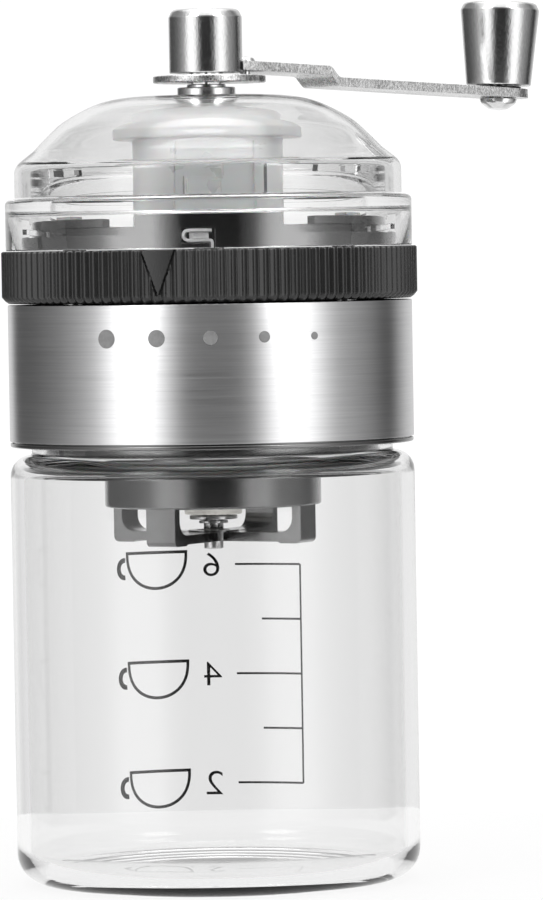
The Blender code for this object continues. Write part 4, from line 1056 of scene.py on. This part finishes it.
def make_rivet():
    """The rivet that holds the arm to the plate's ear."""
    centre = 9.6
    head, low = arm_top(centre) + 0.2, foot("arm_rivet")
    profile = rounded([(AXIS, low), (1.0, low, 0.2), (1.0, head), (2.05, head, 0.1), (1.7, head + 0.75, 0.5),
                       (AXIS, head + 1.15)], 5, closed=False)
    rivet = turned("rivet", profile, POLISHED, "crank", ["arm_rivet"], capped=True,
                   segments=SMALL_SEGMENTS)
    rivet.data.transform(Matrix.Translation(Vector(polar(centre, ARM_AZIMUTH, 0.0)) * MM))


def on_knob_axis(obj):
    """Moves a piece from the origin to the knob's axis, square to the drooping arm."""
    droop = radians(ARM_SLOPE)
    heading = Vector((*turn_flat(1.0, 0.0, ARM_AZIMUTH), 0.0))
    up = heading * sin(droop) + Vector((0, 0, cos(droop)))
    turn = Vector((0, 0, 1)).rotation_difference(up).to_matrix().to_4x4()
    place = Vector((*turn_flat(ARM_LENGTH, 0.0, ARM_AZIMUTH), arm_top(ARM_LENGTH))) * MM
    obj.data.transform(Matrix.Translation(place) @ turn)
    return obj


def make_knob():
    """The tapered knob, the washer below it and the axle screw, whose head shows under the arm."""
    under, low = -ARM_THICKNESS - 0.15, 0.65
    bore, bore_top, high = 2.2, 13.3, low + KNOB_HEIGHT
    knob = rounded([(AXIS, high), (7.3, high - 0.1, 1.0), (7.98, high - 1.6, 0.9), (6.55, low, 0.35),
                    (bore, low, 0.2), (bore, bore_top), (AXIS, bore_top)], 6, closed=False)
    on_knob_axis(turned("grip_knob", knob, CHROME, "knob", ["knob"], capped=True, segments=128))
    washer = rounded([(4.6, 0.12, 0.1), (4.6, 0.5, 0.1), (bore, 0.5), (bore, 0.12)], 3)
    on_knob_axis(turned("washer", washer, WASHER_BLACK, "knob", ["knob_washer"],
                        segments=SMALL_SEGMENTS))
    axle = rounded([(AXIS, under - 2.4), (1.9, under - 2.15, 1.5), (3.5, under - 1.0, 1.0),
                    (3.85, under, 0.2), (1.9, under), (1.9, 12.4, 0.2), (AXIS, 12.8)], 6, closed=False)
    on_knob_axis(turned("axle_screw", axle, POLISHED, "crank", ["knob_axle"], capped=True,
                        segments=SMALL_SEGMENTS))


# ---------------- CAD nodes that stay

def finish_kept_nodes():
    burrs = ceramic()
    kept = {"jar_gasket": silicone(), "outer_burr": burrs, "inner_burr": burrs,
            "lower_bush": satin_chrome("sintered_bronze", 0.45, 0.35, 0.5, 3000.0),
            "drive_socket": HOUSING_BLACK[0]}
    kept.update({f"{kind}_screw_{k}": ZINC[0] for kind in ("collar", "ring") for k in (1, 2, 3)})
    for name, finish in kept.items():
        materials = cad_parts[name].data.materials
        materials.clear()
        materials.append(finish)


# ---------------- light, floor and camera

def make_floor():
    """A pale round floor, small enough that the steel above it mirrors the walls."""
    made, tree, shader = new_material("floor_white", Roughness=0.9, Specular_IOR_Level=0.1,
                                      Emission_Color=grey(1.0), Emission_Strength=0.90)
    soft = ramp(tree, noise(tree, stretched(tree, 6.0)), ((0.3, 0.025), (0.7, 0.03)))
    tree.links.new(soft, shader.inputs["Base Color"])
    rim = [Vector(polar(FLOOR_RADIUS, 360.0 * i / 96, 0.0)) for i in range(96)]
    mesh = bpy.data.meshes.new("floor")
    mesh.from_pydata(rim, [], [tuple(range(96))])
    mesh.materials.append(made)
    floor = bpy.data.objects.new("floor", mesh)
    floor.location.z = -0.0002
    bpy.context.scene.collection.objects.link(floor)


def smooth_rise(tree, source, low, high, level=1.0):
    """From 0 to a level while the source goes from low to high."""
    made = node(tree, "ShaderNodeMapRange", [(source, "Value")], interpolation_type="SMOOTHSTEP",
                From_Min=low, From_Max=high, To_Max=level)
    return made.outputs["Result"]


def turn_ramp(tree, share, levels, gain=1.0):
    """Levels at azimuths from -180 to 180 degrees, for a share of the way round."""
    return ramp(tree, share, [((azimuth + 180.0) / 360.0, level * gain) for azimuth, level in levels])


def blend(tree, factor, first, second):
    """Mixes a colour with another or with a plain grey level."""
    made = node(tree, "ShaderNodeMix", [(factor, "Factor"), (first, 6)], data_type="RGBA")
    if isinstance(second, float):
        made.inputs[7].default_value = grey(second)
    else:
        tree.links.new(second, made.inputs[7])
    return made.outputs[2]


def make_studio():
    """A soft studio as a world: tall soft boxes at the front, dark between them, and a bright ceiling.

    The level depends on the direction, and on whether a ray was mirrored, went straight through clear
    pieces or left a matt surface. Past the object the background is white.
    """
    world = bpy.data.worlds.new("studio")
    bpy.context.scene.world = world
    world.use_nodes = True
    tree = world.node_tree
    place = node(tree, "ShaderNodeTexCoord")
    x, y, z = node(tree, "ShaderNodeSeparateXYZ", [(place.outputs["Generated"], 0)]).outputs
    turn = calc(tree, "ARCTAN2", x, calc(tree, "MULTIPLY", y, -1.0))
    share = calc(tree, "MULTIPLY_ADD", turn, 0.5 / pi, 0.5)
    fill = smooth_rise(tree, calc(tree, "ABSOLUTE", z), *FILL_RISE, FILL)
    walls = turn_ramp(tree, share, WALL_LEVELS, 1.0 / WALL_PEAK)
    walls = calc(tree, "MULTIPLY_ADD", walls, WALL_PEAK, fill, vector=True)
    lamps = calc(tree, "MULTIPLY", ramp(tree, z, LAMP_RISE), turn_ramp(tree, share, LAMP_TURN), vector=True)
    lit = calc(tree, "MULTIPLY_ADD", lamps, LAMP, walls, vector=True)
    lit = blend(tree, smooth_rise(tree, z, *CEILING_RISE), lit, CEILING)
    lit = blend(tree, ramp(tree, z, ZENITH_RISE), lit, ZENITH)
    rays = node(tree, "ShaderNodeLightPath")
    depth, walls_passed = rays.outputs["Ray Depth"], rays.outputs["Transmission Depth"]
    # A ray that only went through clear walls has one more depth here than transmissions. One that leaves
    # towards the back after one to three transmissions counts too, whatever mirrored it on its way.
    straight = calc(tree, "LESS_THAN", calc(tree, "SUBTRACT", depth, walls_passed), 1.5)
    few = calc(tree, "COMPARE", walls_passed, 2.0, 1.1)
    carried = calc(tree, "MULTIPLY", few, calc(tree, "GREATER_THAN", y, 0.05))
    through = calc(tree, "MAXIMUM", straight, carried)
    through = calc(tree, "MULTIPLY", through, rays.outputs["Is Transmission Ray"])
    lit = blend(tree, through, lit, turn_ramp(tree, share, PAST_LEVELS, PAST_PEAK))
    matt = calc(tree, "MINIMUM", rays.outputs["Diffuse Depth"], 1.0)
    lit = blend(tree, matt, lit, DIFFUSE_LIGHT)
    seen = blend(tree, rays.outputs["Is Camera Ray"], lit, BACKDROP)
    tree.links.new(seen, tree.nodes["Background"].inputs["Color"])


def make_camera():
    """Level with the hopper, far off with a long lens, a little rolled."""
    distance, eye_height, roll = 1.137, 0.1234, radians(-0.95)
    sensor, lens = 36.0, 232.0
    left, above = 2.5, 8.0          # of the picture's middle, on the sensor: the main axis, the eye level
    data = bpy.data.cameras.new("camera")
    data.sensor_width = sensor
    data.lens = lens
    data.dof.use_dof = False
    look = Vector((left * cos(roll) + above * sin(roll), lens, left * sin(roll) - above * cos(roll)))
    camera = bpy.data.objects.new("camera", data)
    camera.rotation_mode = "QUATERNION"
    camera.rotation_quaternion = look.to_track_quat("-Z", "Y") @ Matrix.Rotation(roll, 3, "Z").to_quaternion()
    camera.location = (0.0, -distance, eye_height)
    bpy.context.scene.collection.objects.link(camera)
    bpy.context.scene.camera = camera


def set_light_paths():
    """Clear walls lie in front of each other, so rays need many bounces."""
    cycles = bpy.context.scene.cycles
    cycles.max_bounces = cycles.transmission_bounces = 28
    cycles.glossy_bounces = 8
    cycles.diffuse_bounces = 4
    bpy.context.scene.view_settings.view_transform = "Standard"


for make in (make_jar, make_scale, make_housing, make_sleeve, make_dots, make_collar, make_click_spring,
             make_hopper, make_tower, make_coil_spring, make_ring, make_funnel, make_carrier, make_shaft,
             make_thrust_screw, make_lid, make_plate, make_hub, make_arm, make_rivet, make_knob,
             finish_kept_nodes, make_floor, make_studio, make_camera, set_light_paths):
    make()
